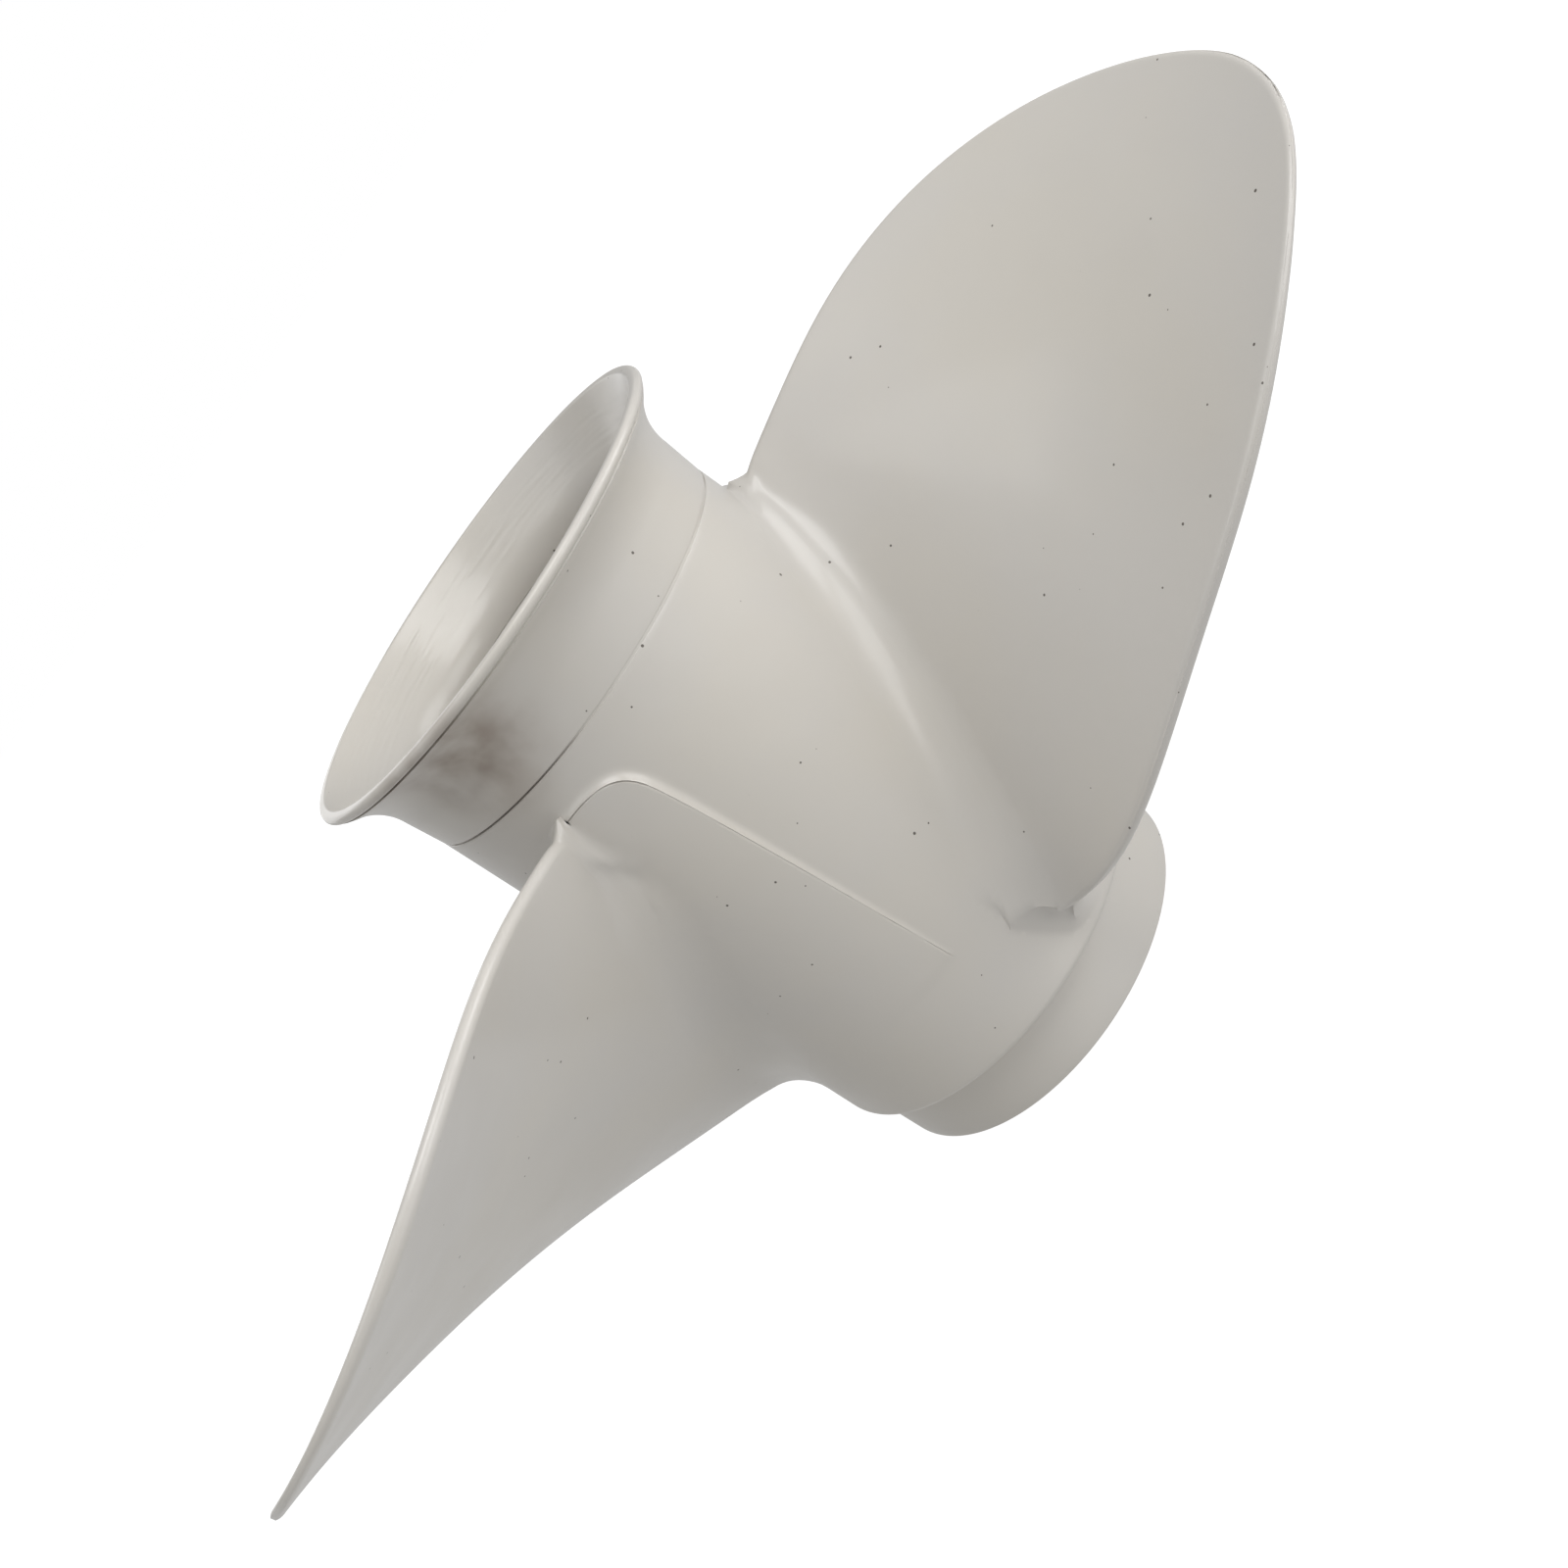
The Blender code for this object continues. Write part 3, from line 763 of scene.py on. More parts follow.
def ring_profile():
    """Closed section of the ring: outside up to the lip, over it and down the cone."""
    p = settings()
    ring, barrel = p.ring, p.barrel
    lip = 0.8 * MM
    seam = barrel.seam_height
    outer = barrel.seam_radius
    skirt = outer - 1.0 * MM
    shelf = seam + 4.04 * MM
    flare = (outer + 0.4 * MM + 9.7 * MM, 102.4 * MM)
    lip_centre = (ring.rim_radius - lip, ring.rim_height - lip)
    mouth = 0.7 * MM
    outline = [(skirt, seam + 0.1 * MM)] + straight((skirt, seam + 0.1 * MM), (outer - 0.15 * MM, seam), 2)
    outline += arc_points((outer - 0.15 * MM, seam + 0.15 * MM), 0.15 * MM, -90, 0, 3)[1:]
    start = (outer + 0.4 * MM, 102.4 * MM)
    outline += straight(outline[-1], start, 8)
    outline += arc_points(flare, 9.7 * MM, 180, 123, 18)[1:]
    outline += straight(outline[-1], (lip_centre[0] + 0.02 * MM, lip_centre[1] - 1.12 * MM), 3)
    outline += [(lip_centre[0] - 0.05 * MM, lip_centre[1] - 0.92 * MM)]
    outline += arc_points(lip_centre, lip, -80, 90, 12)
    inner = (ring.mouth_radius + mouth, ring.rim_height)
    outline += straight(outline[-1], inner, 2)
    outline += arc_points((inner[0], inner[1] - mouth), mouth, 90, 143, 6)[1:]
    edge = np.array((barrel.bore_aft, ring.cone_height))
    slant = np.array(outline[-1]) - edge
    slant /= np.hypot(*slant)
    bend = 3.2 * MM
    outline += straight(outline[-1], tuple(edge + bend * slant), 56)
    turn = np.linspace(0.0, 1.0, 9)[1:, None]
    start, low = edge + bend * slant, edge - (0.0, bend)
    outline += [tuple(p) for p in start * (1 - turn) ** 2 + 2 * edge * turn * (1 - turn) + low * turn ** 2]
    outline += straight(outline[-1], (barrel.bore_aft, shelf + 0.05 * MM), 2)
    outline += [(barrel.bore_aft + 0.05 * MM, shelf), (skirt - 0.1 * MM, shelf), (skirt, shelf - 0.1 * MM)]
    outline += straight((skirt, shelf - 0.1 * MM), (skirt, seam + 0.1 * MM), 4)[:-1]
    return outline


def around(angles, table):
    """Values around the shaft between (degrees, value) pairs."""
    turns, values = zip(*table)
    return np.interp(np.degrees(angles) % 360, turns, values, period=360)


def ring_wander(angles, radius, z):
    """Slightly uneven lip, a tight corner under it, and scraper marks inside the mouth."""
    p = settings()
    ring, bore = p.ring, p.barrel.bore_aft
    near_lip = fade((z - ring.rim_height + 5 * MM) / (5 * MM))
    x, y = np.cos(angles) * 40, np.sin(angles) * 40
    wave = np.array([soft_noise(a, b, z / MM, 5.0, 14.0) for a, b in zip(x, y)])
    out = (0.10 * wave - 0.08) * near_lip * MM
    under = abs(z - (ring.rim_height - 1.72 * MM)) < 0.02 * MM and radius < ring.rim_radius - 0.7 * MM
    if under:
        out = out - around(angles, UNDERCUT) * MM
    slant = (ring.mouth_radius - bore) / (ring.rim_height - ring.cone_height)
    in_mouth = z > ring.cone_height and radius < bore + slant * (z - ring.cone_height) + 0.5 * MM
    if in_mouth:
        marks = np.array([noise.noise(Vector((a / 9, b / 9, z / (0.55 * MM)))) for a, b in zip(x, y)])
        out = out + marks * around(angles, SCRAPED) * near_mouth(z) * MM
    return out


def near_mouth(z):
    """Full over the cone, fading at its lip and its foot."""
    ring = settings().ring
    return fade((z - ring.cone_height) / (2 * MM)) * fade((ring.rim_height - 1.2 * MM - z) / (1.5 * MM))


def seam_wander(angles, radius, z):
    """Paint lies deeper in the joint on some stretches than on others."""
    wave = np.array([soft_noise(math.cos(a) * 35, math.sin(a) * 35, 0.0, 2.0, 9.0) for a in angles])
    return -np.clip(around(angles, JOINT_DEPTH) * (1.0 + 1.4 * wave), 0.0, 0.8) * MM


# Inner hub, ribs, rubber and sleeve

RIB_FRONT_Z = 16.0 * MM
RIB_AFT_Z = 78.0 * MM
RIB_FIRST_ANGLE = math.radians(60)
RIB_FILLET = 3.0 * MM
HUB_FRONT_Z = 6.0 * MM
HUB_AFT_Z = 82.0 * MM


def hub_profile():
    hub = settings().hub
    inner, outer = hub.bore_radius, hub.outer_radius
    edge = 0.8 * MM
    outline = arc_points((inner + edge, HUB_FRONT_Z + edge), edge, 180, 270, 4)
    outline += arc_points((outer - edge, HUB_FRONT_Z + edge), edge, -90, 0, 4)
    outline += straight(outline[-1], (outer, HUB_AFT_Z - edge), 20)
    outline += arc_points((outer - edge, HUB_AFT_Z - edge), edge, 0, 90, 4)[1:]
    outline += arc_points((inner + edge, HUB_AFT_Z - edge), edge, 90, 180, 4)
    outline += straight(outline[-1], outline[0], 8)[:-1]
    return outline


def rib_half_width(distance, to_wall):
    """Half the rib's thickness, wider where it runs out into the hub and into the wall."""
    half = settings().hub.rib_thickness / 2
    return half + fillet_growth(distance, RIB_FILLET) + fillet_growth(to_wall, RIB_FILLET)


def rib_rows(wall):
    """Sections of one rib from front to aft, with rounded ends."""
    hub = settings().hub
    half = hub.rib_thickness / 2
    inner = hub.outer_radius - 0.6 * MM
    ends = half * (1.0 - np.cos(np.linspace(0.0, math.pi / 2, 7)))
    heights = np.concatenate([RIB_FRONT_Z + ends, np.linspace(RIB_FRONT_Z + half, RIB_AFT_Z - half, 22)[1:-1],
                              RIB_AFT_Z - ends[::-1]])
    rows = []
    for z in heights:
        outer = wall(z) + 0.6 * MM
        reach = np.linspace(0.0, 1.0, 33)
        radii = inner + (outer - inner) * reach
        near_end = min(z - RIB_FRONT_Z, RIB_AFT_Z - z)
        full = rounded_end(np.array([near_end / half]), 2.0)[0]
        width = rib_half_width(np.clip(radii - hub.outer_radius, 0.0, None),
                               np.clip(outer - 0.6 * MM - radii, 0.0, None)) * max(full, 0.02)
        one = np.stack([radii, width, np.full(len(radii), z)], axis=1)
        two = np.stack([radii, -width, np.full(len(radii), z)], axis=1)[::-1]
        rows.append(np.concatenate([one, two]))
    return rows


def rubber_profile():
    hub = settings().hub
    inner = hub.sleeve_radius + 0.3 * MM
    outer = hub.bore_radius - 0.3 * MM
    front, aft = HUB_FRONT_Z + 2 * MM, HUB_AFT_Z - 2 * MM
    edge = 0.9 * MM
    outline = arc_points((inner + 0.4 * MM, front + 0.4 * MM), 0.4 * MM, 180, 270, 3)
    outline += [(inner + 1.3 * MM, front + 0.35 * MM), (outer - 1.4 * MM, front + 0.35 * MM)]
    outline += arc_points((outer - edge, front + edge), edge, -90, 0, 5)
    outline += straight(outline[-1], (outer, aft - edge), 16)
    outline += arc_points((outer - edge, aft - edge), edge, 0, 90, 5)[1:]
    outline += [(outer - 1.4 * MM, aft - 0.35 * MM), (inner + 1.3 * MM, aft - 0.35 * MM)]
    outline += arc_points((inner + 0.4 * MM, aft - 0.4 * MM), 0.4 * MM, 90, 180, 3)
    outline += straight(outline[-1], outline[0], 16)[:-1]
    return outline


def tooth_radius(angle, shrink):
    """Radius of the splined bore: rounded teeth between round roots."""
    count = settings().hub.splines
    pitch = math.tau / count
    root, tip = 8.6 * MM, 7.4 * MM
    offset = abs((angle + pitch / 2) % pitch - pitch / 2) / pitch
    rise = 1.0 - fade(np.array([(offset - 0.17) / 0.08]))[0]
    return root + (tip - root) * rise * shrink


def sleeve_rows():
    """Loops of the drive sleeve: up the outside and down the splined bore."""
    hub = settings().hub
    front, aft = 4.0 * MM, 86.0 * MM
    chamfer = 0.7 * MM
    count = 240
    angles = np.arange(count) * math.tau / count
    radius = hub.sleeve_radius
    profile = [(radius - chamfer, front), (radius, front + chamfer)]
    profile += straight(profile[-1], (radius, aft - chamfer), 12)
    profile += [(radius - chamfer, aft)]
    rows = turned_rows(profile, angles)
    for z, shrink in ((aft, 0.0), (aft - 1.4 * MM, 1.0), (front + 1.4 * MM, 1.0), (front, 0.0)):
        relief = 0.5 * MM * (1.0 - shrink)
        inner = np.array([tooth_radius(a, shrink) for a in angles]) + relief
        if shrink == 1.0 and z < 45 * MM:
            heights = np.linspace(aft - 1.4 * MM, z, 12)[1:]
        else:
            heights = [z]
        for level in heights:
            rows.append(np.stack([inner * np.cos(angles), inner * np.sin(angles),
                                  np.full(count, level)], axis=1))
    rows.append(rows[0])
    return rows


# Finishes

def add_node(tree, kind, label, place, **values):
    node = tree.nodes.new(kind)
    node.label = label
    node.location = place
    for name, value in values.items():
        setattr(node, name, value)
    return node


def new_group(name, inputs, outputs):
    """An empty shader group with float or colour sockets."""
    tree = bpy.data.node_groups.new(name, "ShaderNodeTree")
    kinds = {"value": "NodeSocketFloat", "colour": "NodeSocketColor", "vector": "NodeSocketVector"}
    for label, kind, default in inputs:
        socket = tree.interface.new_socket(label, in_out="INPUT", socket_type=kinds[kind])
        if default is not None:
            socket.default_value = default
    for label, kind in outputs:
        tree.interface.new_socket(label, in_out="OUTPUT", socket_type=kinds[kind])
    start = add_node(tree, "NodeGroupInput", "In", (-900, 0))
    end = add_node(tree, "NodeGroupOutput", "Out", (700, 0))
    return tree, start, end


def specks_group():
    """Tiny specks scattered one to a cell, in some cells only."""
    if "paint specks" in bpy.data.node_groups:
        return bpy.data.node_groups["paint specks"]
    tree, start, end = new_group(
        "paint specks",
        [("Place", "vector", None), ("Cells per metre", "value", 150.0), ("Share of cells", "value", 0.4),
         ("Speck radius", "value", 0.03)],
        [("Mask", "value")])
    cells = add_node(tree, "ShaderNodeTexVoronoi", "Cells", (-600, 0), feature="F1")
    tree.links.new(start.outputs["Place"], cells.inputs["Vector"])
    tree.links.new(start.outputs["Cells per metre"], cells.inputs["Scale"])
    parts = add_node(tree, "ShaderNodeSeparateColor", "Cell's draw", (-400, -200))
    tree.links.new(cells.outputs["Color"], parts.inputs["Color"])
    chosen = add_node(tree, "ShaderNodeMath", "Has a speck", (-200, -200), operation="LESS_THAN")
    tree.links.new(parts.outputs["Red"], chosen.inputs[0])
    tree.links.new(start.outputs["Share of cells"], chosen.inputs[1])
    size = add_node(tree, "ShaderNodeMath", "Its size", (-200, -400), operation="MULTIPLY")
    tree.links.new(parts.outputs["Green"], size.inputs[0])
    tree.links.new(start.outputs["Speck radius"], size.inputs[1])
    near = add_node(tree, "ShaderNodeMath", "Near its middle", (0, 0), operation="LESS_THAN")
    tree.links.new(cells.outputs["Distance"], near.inputs[0])
    tree.links.new(size.outputs[0], near.inputs[1])
    both = add_node(tree, "ShaderNodeMath", "Speck", (300, 0), operation="MULTIPLY")
    tree.links.new(near.outputs[0], both.inputs[0])
    tree.links.new(chosen.outputs[0], both.inputs[1])
    tree.links.new(both.outputs[0], end.inputs["Mask"])
    return tree


def tone_group():
    """A colour that wanders slowly between two near tones."""
    if "uneven tone" in bpy.data.node_groups:
        return bpy.data.node_groups["uneven tone"]
    tree, start, end = new_group(
        "uneven tone",
        [("Place", "vector", None), ("Patches per metre", "value", 20.0), ("Tone one", "colour", None),
         ("Tone two", "colour", None)],
        [("Colour", "colour"), ("Mask", "value")])
    cloud = add_node(tree, "ShaderNodeTexNoise", "Patches", (-600, 0))
    cloud.inputs["Detail"].default_value = 4.0
    cloud.inputs["Roughness"].default_value = 0.55
    tree.links.new(start.outputs["Place"], cloud.inputs["Vector"])
    tree.links.new(start.outputs["Patches per metre"], cloud.inputs["Scale"])
    spread = add_node(tree, "ShaderNodeMapRange", "Spread", (-300, 0), interpolation_type="SMOOTHSTEP")
    spread.inputs["From Min"].default_value = 0.3
    spread.inputs["From Max"].default_value = 0.7
    tree.links.new(cloud.outputs["Fac"], spread.inputs["Value"])
    blend = add_node(tree, "ShaderNodeMix", "Blend", (100, 0), data_type="RGBA")
    tree.links.new(spread.outputs["Result"], blend.inputs["Factor"])
    for socket in blend.inputs:
        if socket.name == "A" and socket.type == "RGBA":
            tree.links.new(start.outputs["Tone one"], socket)
        if socket.name == "B" and socket.type == "RGBA":
            tree.links.new(start.outputs["Tone two"], socket)
    result = [socket for socket in blend.outputs if socket.type == "RGBA"][0]
    tree.links.new(result, end.inputs["Colour"])
    tree.links.new(spread.outputs["Result"], end.inputs["Mask"])
    return tree


def place_group(tree, group, label, place, **values):
    node = add_node(tree, "ShaderNodeGroup", label, place, node_tree=group)
    for name, value in values.items():
        node.inputs[name.replace("_", " ")].default_value = value
    return node


def mix_colours(tree, label, place, factor, one, two):
    """Mix two colours, each a socket or a plain colour."""
    node = add_node(tree, "ShaderNodeMix", label, place, data_type="RGBA")
    tree.links.new(factor, node.inputs["Factor"])
    sockets = [socket for socket in node.inputs if socket.type == "RGBA"]
    for socket, value in zip(sockets, (one, two)):
        if isinstance(value, bpy.types.NodeSocket):
            tree.links.new(value, socket)
        else:
            socket.default_value = value
    return [socket for socket in node.outputs if socket.type == "RGBA"][0]


def map_value(tree, label, place, value, low, high, out_low, out_high):
    node = add_node(tree, "ShaderNodeMapRange", label, place, interpolation_type="SMOOTHSTEP")
    for name, number in (("From Min", low), ("From Max", high), ("To Min", out_low), ("To Max", out_high)):
        node.inputs[name].default_value = number
    tree.links.new(value, node.inputs["Value"])
    return node.outputs["Result"]


def start_material(name):
    material = bpy.data.materials.new(name)
    material.use_nodes = True
    tree = material.node_tree
    shader = tree.nodes["Principled BSDF"]
    place = add_node(tree, "ShaderNodeTexCoord", "Place", (-1400, 0)).outputs["Object"]
    return material, tree, shader, place


# Painted shade: the paint is darkened to a patchy warm brown in the hollow under the lip, where shade falls
SHADE_PATCH_PLACE = (30.3 * MM, -20.4 * MM, 107.0 * MM)
SHADE_PATCH_SIZE = 17.0 * MM


def paint_material():
    """Semi-gloss off-white paint over a casting: faint tone patches, orange peel, dark specks, and painted
    warm shade in the hollow under the lip.
    """
    if "grey white paint" in bpy.data.materials:
        return bpy.data.materials["grey white paint"]
    finish = settings().finish
    material, tree, shader, place = start_material("grey white paint")
    base = np.array(finish.paint)
    cool = (*np.clip(base * (0.985, 0.99, 1.0), 0, 1), 1.0)
    warm = (*np.clip(base * (1.01, 1.0, 0.97), 0, 1), 1.0)
    tone = place_group(tree, tone_group(), "Tone patches", (-1000, 200), Patches_per_metre=16.0)
    tone.inputs["Tone one"].default_value = cool
    tone.inputs["Tone two"].default_value = warm
    specks = place_group(tree, specks_group(), "Dust specks", (-1000, -100), Cells_per_metre=300.0,
                         Share_of_cells=0.6, Speck_radius=0.075)
    for node in (tone, specks):
        tree.links.new(place, node.inputs["Place"])
    # Painted shade under the lip: how near each point is to the hollow, broken up by noise
    far = add_node(tree, "ShaderNodeVectorMath", "Distance from the painted shade", (-1000, 500), operation="DISTANCE")
    tree.links.new(place, far.inputs[0])
    far.inputs[1].default_value = SHADE_PATCH_PLACE
    near = map_value(tree, "Near the painted shade", (-750, 500), far.outputs["Value"], 0.0, SHADE_PATCH_SIZE, 0.85, 0.0)
    shade_noise = add_node(tree, "ShaderNodeTexNoise", "Shade noise", (-1000, 750))
    shade_noise.inputs["Scale"].default_value = 130.0
    shade_noise.inputs["Detail"].default_value = 3.0
    tree.links.new(place, shade_noise.inputs["Vector"])
    patchy_shade = map_value(tree, "Patchy", (-750, 750), shade_noise.outputs["Fac"], 0.25, 0.75, 0.2, 1.0)
    shade_patch = add_node(tree, "ShaderNodeMath", "Painted shade", (-600, 600), operation="MULTIPLY")
    tree.links.new(near, shade_patch.inputs[0])
    tree.links.new(patchy_shade, shade_patch.inputs[1])
    # Painted shade: a warm dark brown mixed into the paint near the hollow under the lip
    shaded_paint = mix_colours(tree, "Painted shade over paint", (-450, 350), shade_patch.outputs[0], tone.outputs["Colour"],
                          (0.16, 0.10, 0.065, 1.0))
    colour = mix_colours(tree, "Specks over paint", (-500, 200), specks.outputs["Mask"],
                         shaded_paint, (0.12, 0.105, 0.09, 1.0))
    tree.links.new(colour, shader.inputs["Base Color"])
    fine = add_node(tree, "ShaderNodeTexNoise", "Orange peel", (-1000, -400))
    fine.inputs["Scale"].default_value = 900.0
    fine.inputs["Detail"].default_value = 2.0
    tree.links.new(place, fine.inputs["Vector"])
    wave = add_node(tree, "ShaderNodeTexNoise", "Cast waves", (-1000, -700))
    wave.inputs["Scale"].default_value = 75.0
    wave.inputs["Detail"].default_value = 2.0
    tree.links.new(place, wave.inputs["Vector"])
    rough = map_value(tree, "Roughness", (-500, -200), wave.outputs["Fac"], 0.3, 0.7,
                      finish.paint_roughness - 0.04, finish.paint_roughness + 0.05)
    tree.links.new(rough, shader.inputs["Roughness"])
    waves = add_node(tree, "ShaderNodeBump", "Waves", (-500, -600))
    waves.inputs["Strength"].default_value = 0.25
    waves.inputs["Distance"].default_value = 0.0006
    tree.links.new(wave.outputs["Fac"], waves.inputs["Height"])
    peel = add_node(tree, "ShaderNodeBump", "Peel", (-250, -400))
    peel.inputs["Strength"].default_value = 0.12
    peel.inputs["Distance"].default_value = 0.00005
    tree.links.new(fine.outputs["Fac"], peel.inputs["Height"])
    tree.links.new(waves.outputs["Normal"], peel.inputs["Normal"])
    tree.links.new(peel.outputs["Normal"], shader.inputs["Normal"])
    shader.inputs["Coat Weight"].default_value = 0.35
    shader.inputs["Coat Roughness"].default_value = 0.16
    shader.inputs["IOR"].default_value = 1.5
    return material


def rubber_material():
    """Moulded black rubber with grey bloom and a fine grain."""
    if "black rubber" in bpy.data.materials:
        return bpy.data.materials["black rubber"]
    finish = settings().finish
    material, tree, shader, place = start_material("black rubber")
    base = np.array(finish.rubber)
    tone = place_group(tree, tone_group(), "Bloom", (-1000, 200), Patches_per_metre=180.0)
    tone.inputs["Tone one"].default_value = (*base, 1.0)
    tone.inputs["Tone two"].default_value = (*np.clip(base * 2.4 + 0.01, 0, 1), 1.0)
    specks = place_group(tree, specks_group(), "Dust", (-1000, -100), Cells_per_metre=900.0,
                         Share_of_cells=0.25, Speck_radius=0.16)
    for node in (tone, specks):
        tree.links.new(place, node.inputs["Place"])
    colour = mix_colours(tree, "Dust on rubber", (-500, 200), specks.outputs["Mask"],
                         tone.outputs["Colour"], (0.16, 0.15, 0.14, 1.0))
    tree.links.new(colour, shader.inputs["Base Color"])
    grain = add_node(tree, "ShaderNodeTexNoise", "Grain", (-1000, -400))
    grain.inputs["Scale"].default_value = 2600.0
    grain.inputs["Detail"].default_value = 3.0
    tree.links.new(place, grain.inputs["Vector"])
    tree.links.new(map_value(tree, "Roughness", (-500, -200), tone.outputs["Mask"], 0.0, 1.0, 0.62, 0.82),
                   shader.inputs["Roughness"])
    bump = add_node(tree, "ShaderNodeBump", "Grain height", (-250, -400))
    bump.inputs["Strength"].default_value = 0.5
    bump.inputs["Distance"].default_value = 0.00008
    tree.links.new(grain.outputs["Fac"], bump.inputs["Height"])
    tree.links.new(bump.outputs["Normal"], shader.inputs["Normal"])
    return material


def brass_material():
    """Machined brass: fine turning lines around the shaft and a dull tarnish."""
    if "sleeve brass" in bpy.data.materials:
        return bpy.data.materials["sleeve brass"]
    finish = settings().finish
    material, tree, shader, place = start_material("sleeve brass")
    base = np.array(finish.brass)
    tone = place_group(tree, tone_group(), "Tarnish", (-1000, 200), Patches_per_metre=120.0)
    tone.inputs["Tone one"].default_value = (*base, 1.0)
    tone.inputs["Tone two"].default_value = (*base * (0.62, 0.58, 0.55), 1.0)
    tree.links.new(place, tone.inputs["Place"])
    tree.links.new(tone.outputs["Colour"], shader.inputs["Base Color"])
    shader.inputs["Metallic"].default_value = 1.0
    lines = add_node(tree, "ShaderNodeTexWave", "Turning lines", (-1000, -300), wave_type="BANDS",
                     bands_direction="Z")
    lines.inputs["Scale"].default_value = 1100.0
    lines.inputs["Distortion"].default_value = 1.2
    lines.inputs["Detail"].default_value = 2.0
    tree.links.new(place, lines.inputs["Vector"])
    tree.links.new(map_value(tree, "Roughness", (-500, -200), tone.outputs["Mask"], 0.0, 1.0, 0.26, 0.44),
                   shader.inputs["Roughness"])
    bump = add_node(tree, "ShaderNodeBump", "Line height", (-250, -400))
    bump.inputs["Strength"].default_value = 0.3
    bump.inputs["Distance"].default_value = 0.00003
    tree.links.new(lines.outputs["Fac"], bump.inputs["Height"])
    tree.links.new(bump.outputs["Normal"], shader.inputs["Normal"])
    return material


# Stage

def floor_material():
    """A plain white table that glows softly, as a light table does."""
    material, tree, shader, _ = start_material("pale floor")
    shader.inputs["Base Color"].default_value = (0.15, 0.15, 0.15, 1.0)
    shader.inputs["Roughness"].default_value = 0.9
    shader.inputs["Specular IOR Level"].default_value = 0.0
    shader.inputs["Emission Color"].default_value = (1.0, 1.0, 1.0, 1.0)
    rays = add_node(tree, "ShaderNodeLightPath", "Rays", (-600, -300))
    glow = map_value(tree, "Glow", (-300, -300), rays.outputs["Is Camera Ray"], 0.0, 1.0, 0.48, 0.98)
    tree.links.new(glow, shader.inputs["Emission Strength"])
    return material


# Name, turn around the shaft and height above the floor in degrees, width in metres, watts
SOFTBOXES = (
    ("front softbox", 40, 14, 0.8, 5.4),
    ("upper softbox", 30, 62, 0.8, 8.0),
    ("side softbox", 80, 14, 0.8, 6.4),
    ("left softbox", 270, 62, 0.8, 2.8),
    ("back softbox", 200, 14, 0.8, 2.0),
)
AIM = Vector((0.0, 0.0, 0.06))
LIGHT_DISTANCE = 1.4


def area_light(name, place, aim, size, power, colour=(1.0, 1.0, 1.0)):
    lamp = bpy.data.lights.new(name, "AREA")
    lamp.shape = "RECTANGLE"
    lamp.size, lamp.size_y = size
    lamp.energy = power
    lamp.color = colour
    thing = bpy.data.objects.new(name, lamp)
    thing.location = place
    away = Vector(place) - Vector(aim)
    thing.rotation_mode = "QUATERNION"
    thing.rotation_quaternion = away.to_track_quat("Z", "Y")
    bpy.context.collection.objects.link(thing)
    return thing


def studio_world():
    """White all round for the camera, and a dimmer even white light for the object."""
    world = bpy.data.worlds.new("studio")
    bpy.context.scene.world = world
    world.use_nodes = True
    tree = world.node_tree
    tree.nodes.clear()
    out = add_node(tree, "ShaderNodeOutputWorld", "Out", (600, 0))
    seen = add_node(tree, "ShaderNodeBackground", "Seen", (0, 200))
    seen.inputs["Color"].default_value = (1.0, 1.0, 1.0, 1.0)
    seen.inputs["Strength"].default_value = 1.0
    lit = add_node(tree, "ShaderNodeBackground", "Lighting", (0, -100))
    lit.inputs["Color"].default_value = (1.0, 1.0, 1.0, 1.0)
    lit.inputs["Strength"].default_value = 0.31
    rays = add_node(tree, "ShaderNodeLightPath", "Rays", (0, 500))
    mix = add_node(tree, "ShaderNodeMixShader", "Mix", (300, 0))
    tree.links.new(rays.outputs["Is Camera Ray"], mix.inputs["Fac"])
    tree.links.new(lit.outputs[0], mix.inputs[1])
    tree.links.new(seen.outputs[0], mix.inputs[2])
    tree.links.new(mix.outputs[0], out.inputs["Surface"])


# Operators

class PROPELLER_OT_stage(bpy.types.Operator):
    """Set the camera, the pale floor and the soft studio light"""

    bl_idname = "propeller.stage"
    bl_label = "Stage"

    def execute(self, context):
        stage = settings().stage
        data = bpy.data.cameras.new("camera")
        data.lens = stage.lens
        data.sensor_width = 36.0
        data.clip_start = 0.01
        data.clip_end = 60.0
        camera = bpy.data.objects.new("camera", data)
        camera.matrix_world = (Matrix.Translation(stage.camera_place)
                               @ Euler(stage.camera_turn).to_matrix().to_4x4())
        context.collection.objects.link(camera)
        context.scene.camera = camera
        context.scene.view_settings.view_transform = "Standard"
        half = stage.floor_size / 2
        shape = Shape()
        shape.add([(-half, -half, -0.0002), (half, -half, -0.0002), (half, half, -0.0002),
                   (-half, half, -0.0002)], [(0, 1, 2, 3)])
        floor = shape.finish("floor", floor_material())
        for name, turn, rise, size, power in SOFTBOXES:
            turn, rise = math.radians(turn), math.radians(rise)
            away = Vector((math.cos(turn) * math.cos(rise), math.sin(turn) * math.cos(rise), math.sin(rise)))
            area_light(name, AIM + away * LIGHT_DISTANCE, AIM, (size, size), power)
        studio_world()
        return {"FINISHED"}


def seat(thing, slot, *nodes):
    """Ride on the frame and stand for CAD nodes. The slot is not used."""
    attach(thing, BODY)
    if nodes:
        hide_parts(*nodes)


class PROPELLER_OT_casting(bpy.types.Operator):
    """Build the barrel, collar and blades as one skin"""

    bl_idname = "propeller.casting"
    bl_label = "Casting"

    def execute(self, context):
        thing = casting_shape().finish("casting_skin", paint_material())
        seat(thing, "grey_white_paint", "propeller_casting")
        return {"FINISHED"}


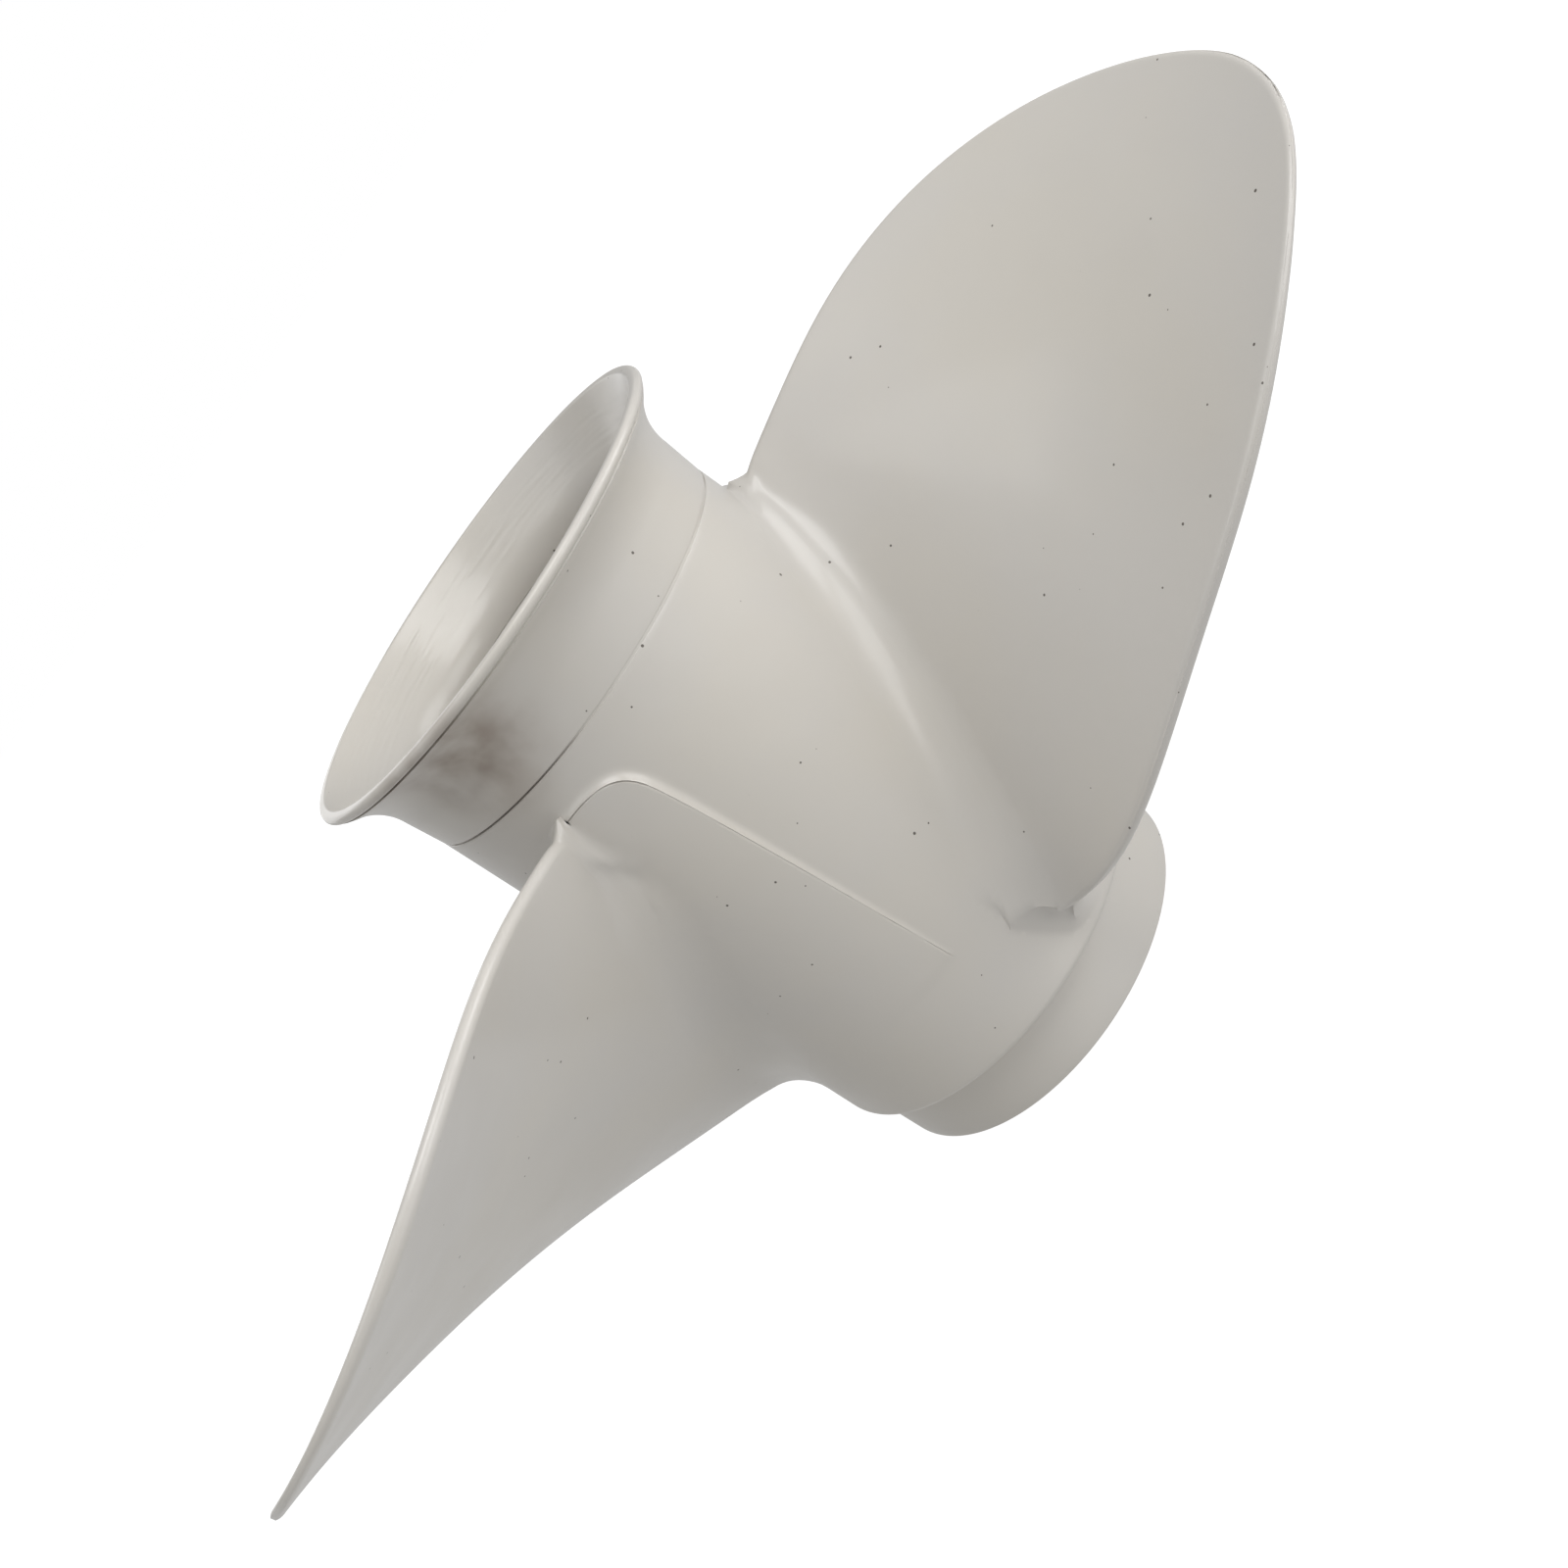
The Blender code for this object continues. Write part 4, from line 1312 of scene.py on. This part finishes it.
class PROPELLER_OT_inner_hub(bpy.types.Operator):
    """Build the inner hub and its three ribs"""

    bl_idname = "propeller.inner_hub"
    bl_label = "Inner hub and ribs"

    def execute(self, context):
        barrel = settings().barrel
        top = barrel.seam_height + 4 * MM

        def wall(z):
            return barrel.bore_front + (barrel.bore_aft - barrel.bore_front) * z / top

        shape = Shape()
        shape.add_grid(turned_rows(hub_profile() + hub_profile()[:1], full_turn(144)))
        hub = shape.finish("inner_hub", paint_material())
        seat(hub, "grey_white_paint")
        for i in range(BLADES):
            rows = rib_rows(wall)
            turn = RIB_FIRST_ANGLE + i * SECTOR
            rib = Shape()
            rib.add_grid([turn_points(row, turn) for row in rows])
            for row in (rows[0], rows[-1]):
                rib.add(turn_points(row, turn), [tuple(range(len(row)))])
            seat(rib.finish(f"hub_rib_{i + 1}", paint_material()), "grey_white_paint")
        return {"FINISHED"}


class PROPELLER_OT_ring(bpy.types.Operator):
    """Build the flared aft ring and the paint in its joint"""

    bl_idname = "propeller.ring"
    bl_label = "Flared ring"

    def execute(self, context):
        profile = ring_profile()
        shape = Shape()
        shape.add_grid(turned_rows(profile + profile[:1], full_turn(), ring_wander))
        seat(shape.finish("flared_ring", paint_material()), "grey_white_paint", "diffuser_ring")
        barrel = settings().barrel
        seam, outer = barrel.seam_height, barrel.seam_radius
        band = Shape()
        outside = turned_rows([(outer, seam - 0.34 * MM), (outer, seam + 0.04 * MM)], full_turn(), seam_wander)
        inside = turned_rows([(outer - 0.9 * MM, seam + 0.04 * MM), (outer - 0.9 * MM, seam - 0.34 * MM)],
                             full_turn())
        rows = outside + inside
        band.add_grid(rows + rows[:1])
        seat(band.finish("joint_paint", paint_material()), "grey_white_paint")
        return {"FINISHED"}


class PROPELLER_OT_drive(bpy.types.Operator):
    """Build the rubber hub and the splined drive sleeve"""

    bl_idname = "propeller.drive"
    bl_label = "Rubber and sleeve"

    def execute(self, context):
        profile = rubber_profile()
        rubber = Shape()
        rubber.add_grid(turned_rows(profile + profile[:1], full_turn(144)))
        seat(rubber.finish("rubber_hub", rubber_material()), "black_rubber", "rubber_bushing")
        sleeve = Shape()
        sleeve.add_grid(sleeve_rows())
        seat(sleeve.finish("drive_sleeve", brass_material()), "sleeve_brass", "splined_sleeve")
        return {"FINISHED"}


class PROPELLER_PT_panel(bpy.types.Panel):
    """Sizes, colours and building steps of the propeller"""

    bl_label = "Propeller"
    bl_idname = "PROPELLER_PT_panel"
    bl_space_type = "VIEW_3D"
    bl_region_type = "UI"
    bl_category = "Propeller"

    def draw(self, context):
        layout = self.layout
        for part in ("blade", "barrel", "ring", "hub", "finish", "stage"):
            box = layout.box()
            box.label(text=part.capitalize())
            group = getattr(context.scene.propeller, part)
            for name in group.__annotations__:
                box.prop(group, name)
        for operator in OPERATORS:
            layout.operator(operator.bl_idname)


OPERATORS = (PROPELLER_OT_stage, PROPELLER_OT_casting, PROPELLER_OT_inner_hub, PROPELLER_OT_ring,
             PROPELLER_OT_drive)
CLASSES = (BladeSettings, BarrelSettings, RingSettings, HubSettings, FinishSettings, StageSettings,
           PropellerSettings) + OPERATORS + (PROPELLER_PT_panel,)


def register():
    for kind in CLASSES:
        bpy.utils.register_class(kind)
    bpy.types.Scene.propeller = PointerProperty(type=PropellerSettings)


def unregister():
    del bpy.types.Scene.propeller
    for kind in reversed(CLASSES):
        bpy.utils.unregister_class(kind)


def main():
    register()
    bpy.ops.propeller.stage()
    bpy.ops.propeller.casting()
    bpy.ops.propeller.inner_hub()
    bpy.ops.propeller.ring()
    bpy.ops.propeller.drive()


if __name__ == "__main__":
    main()
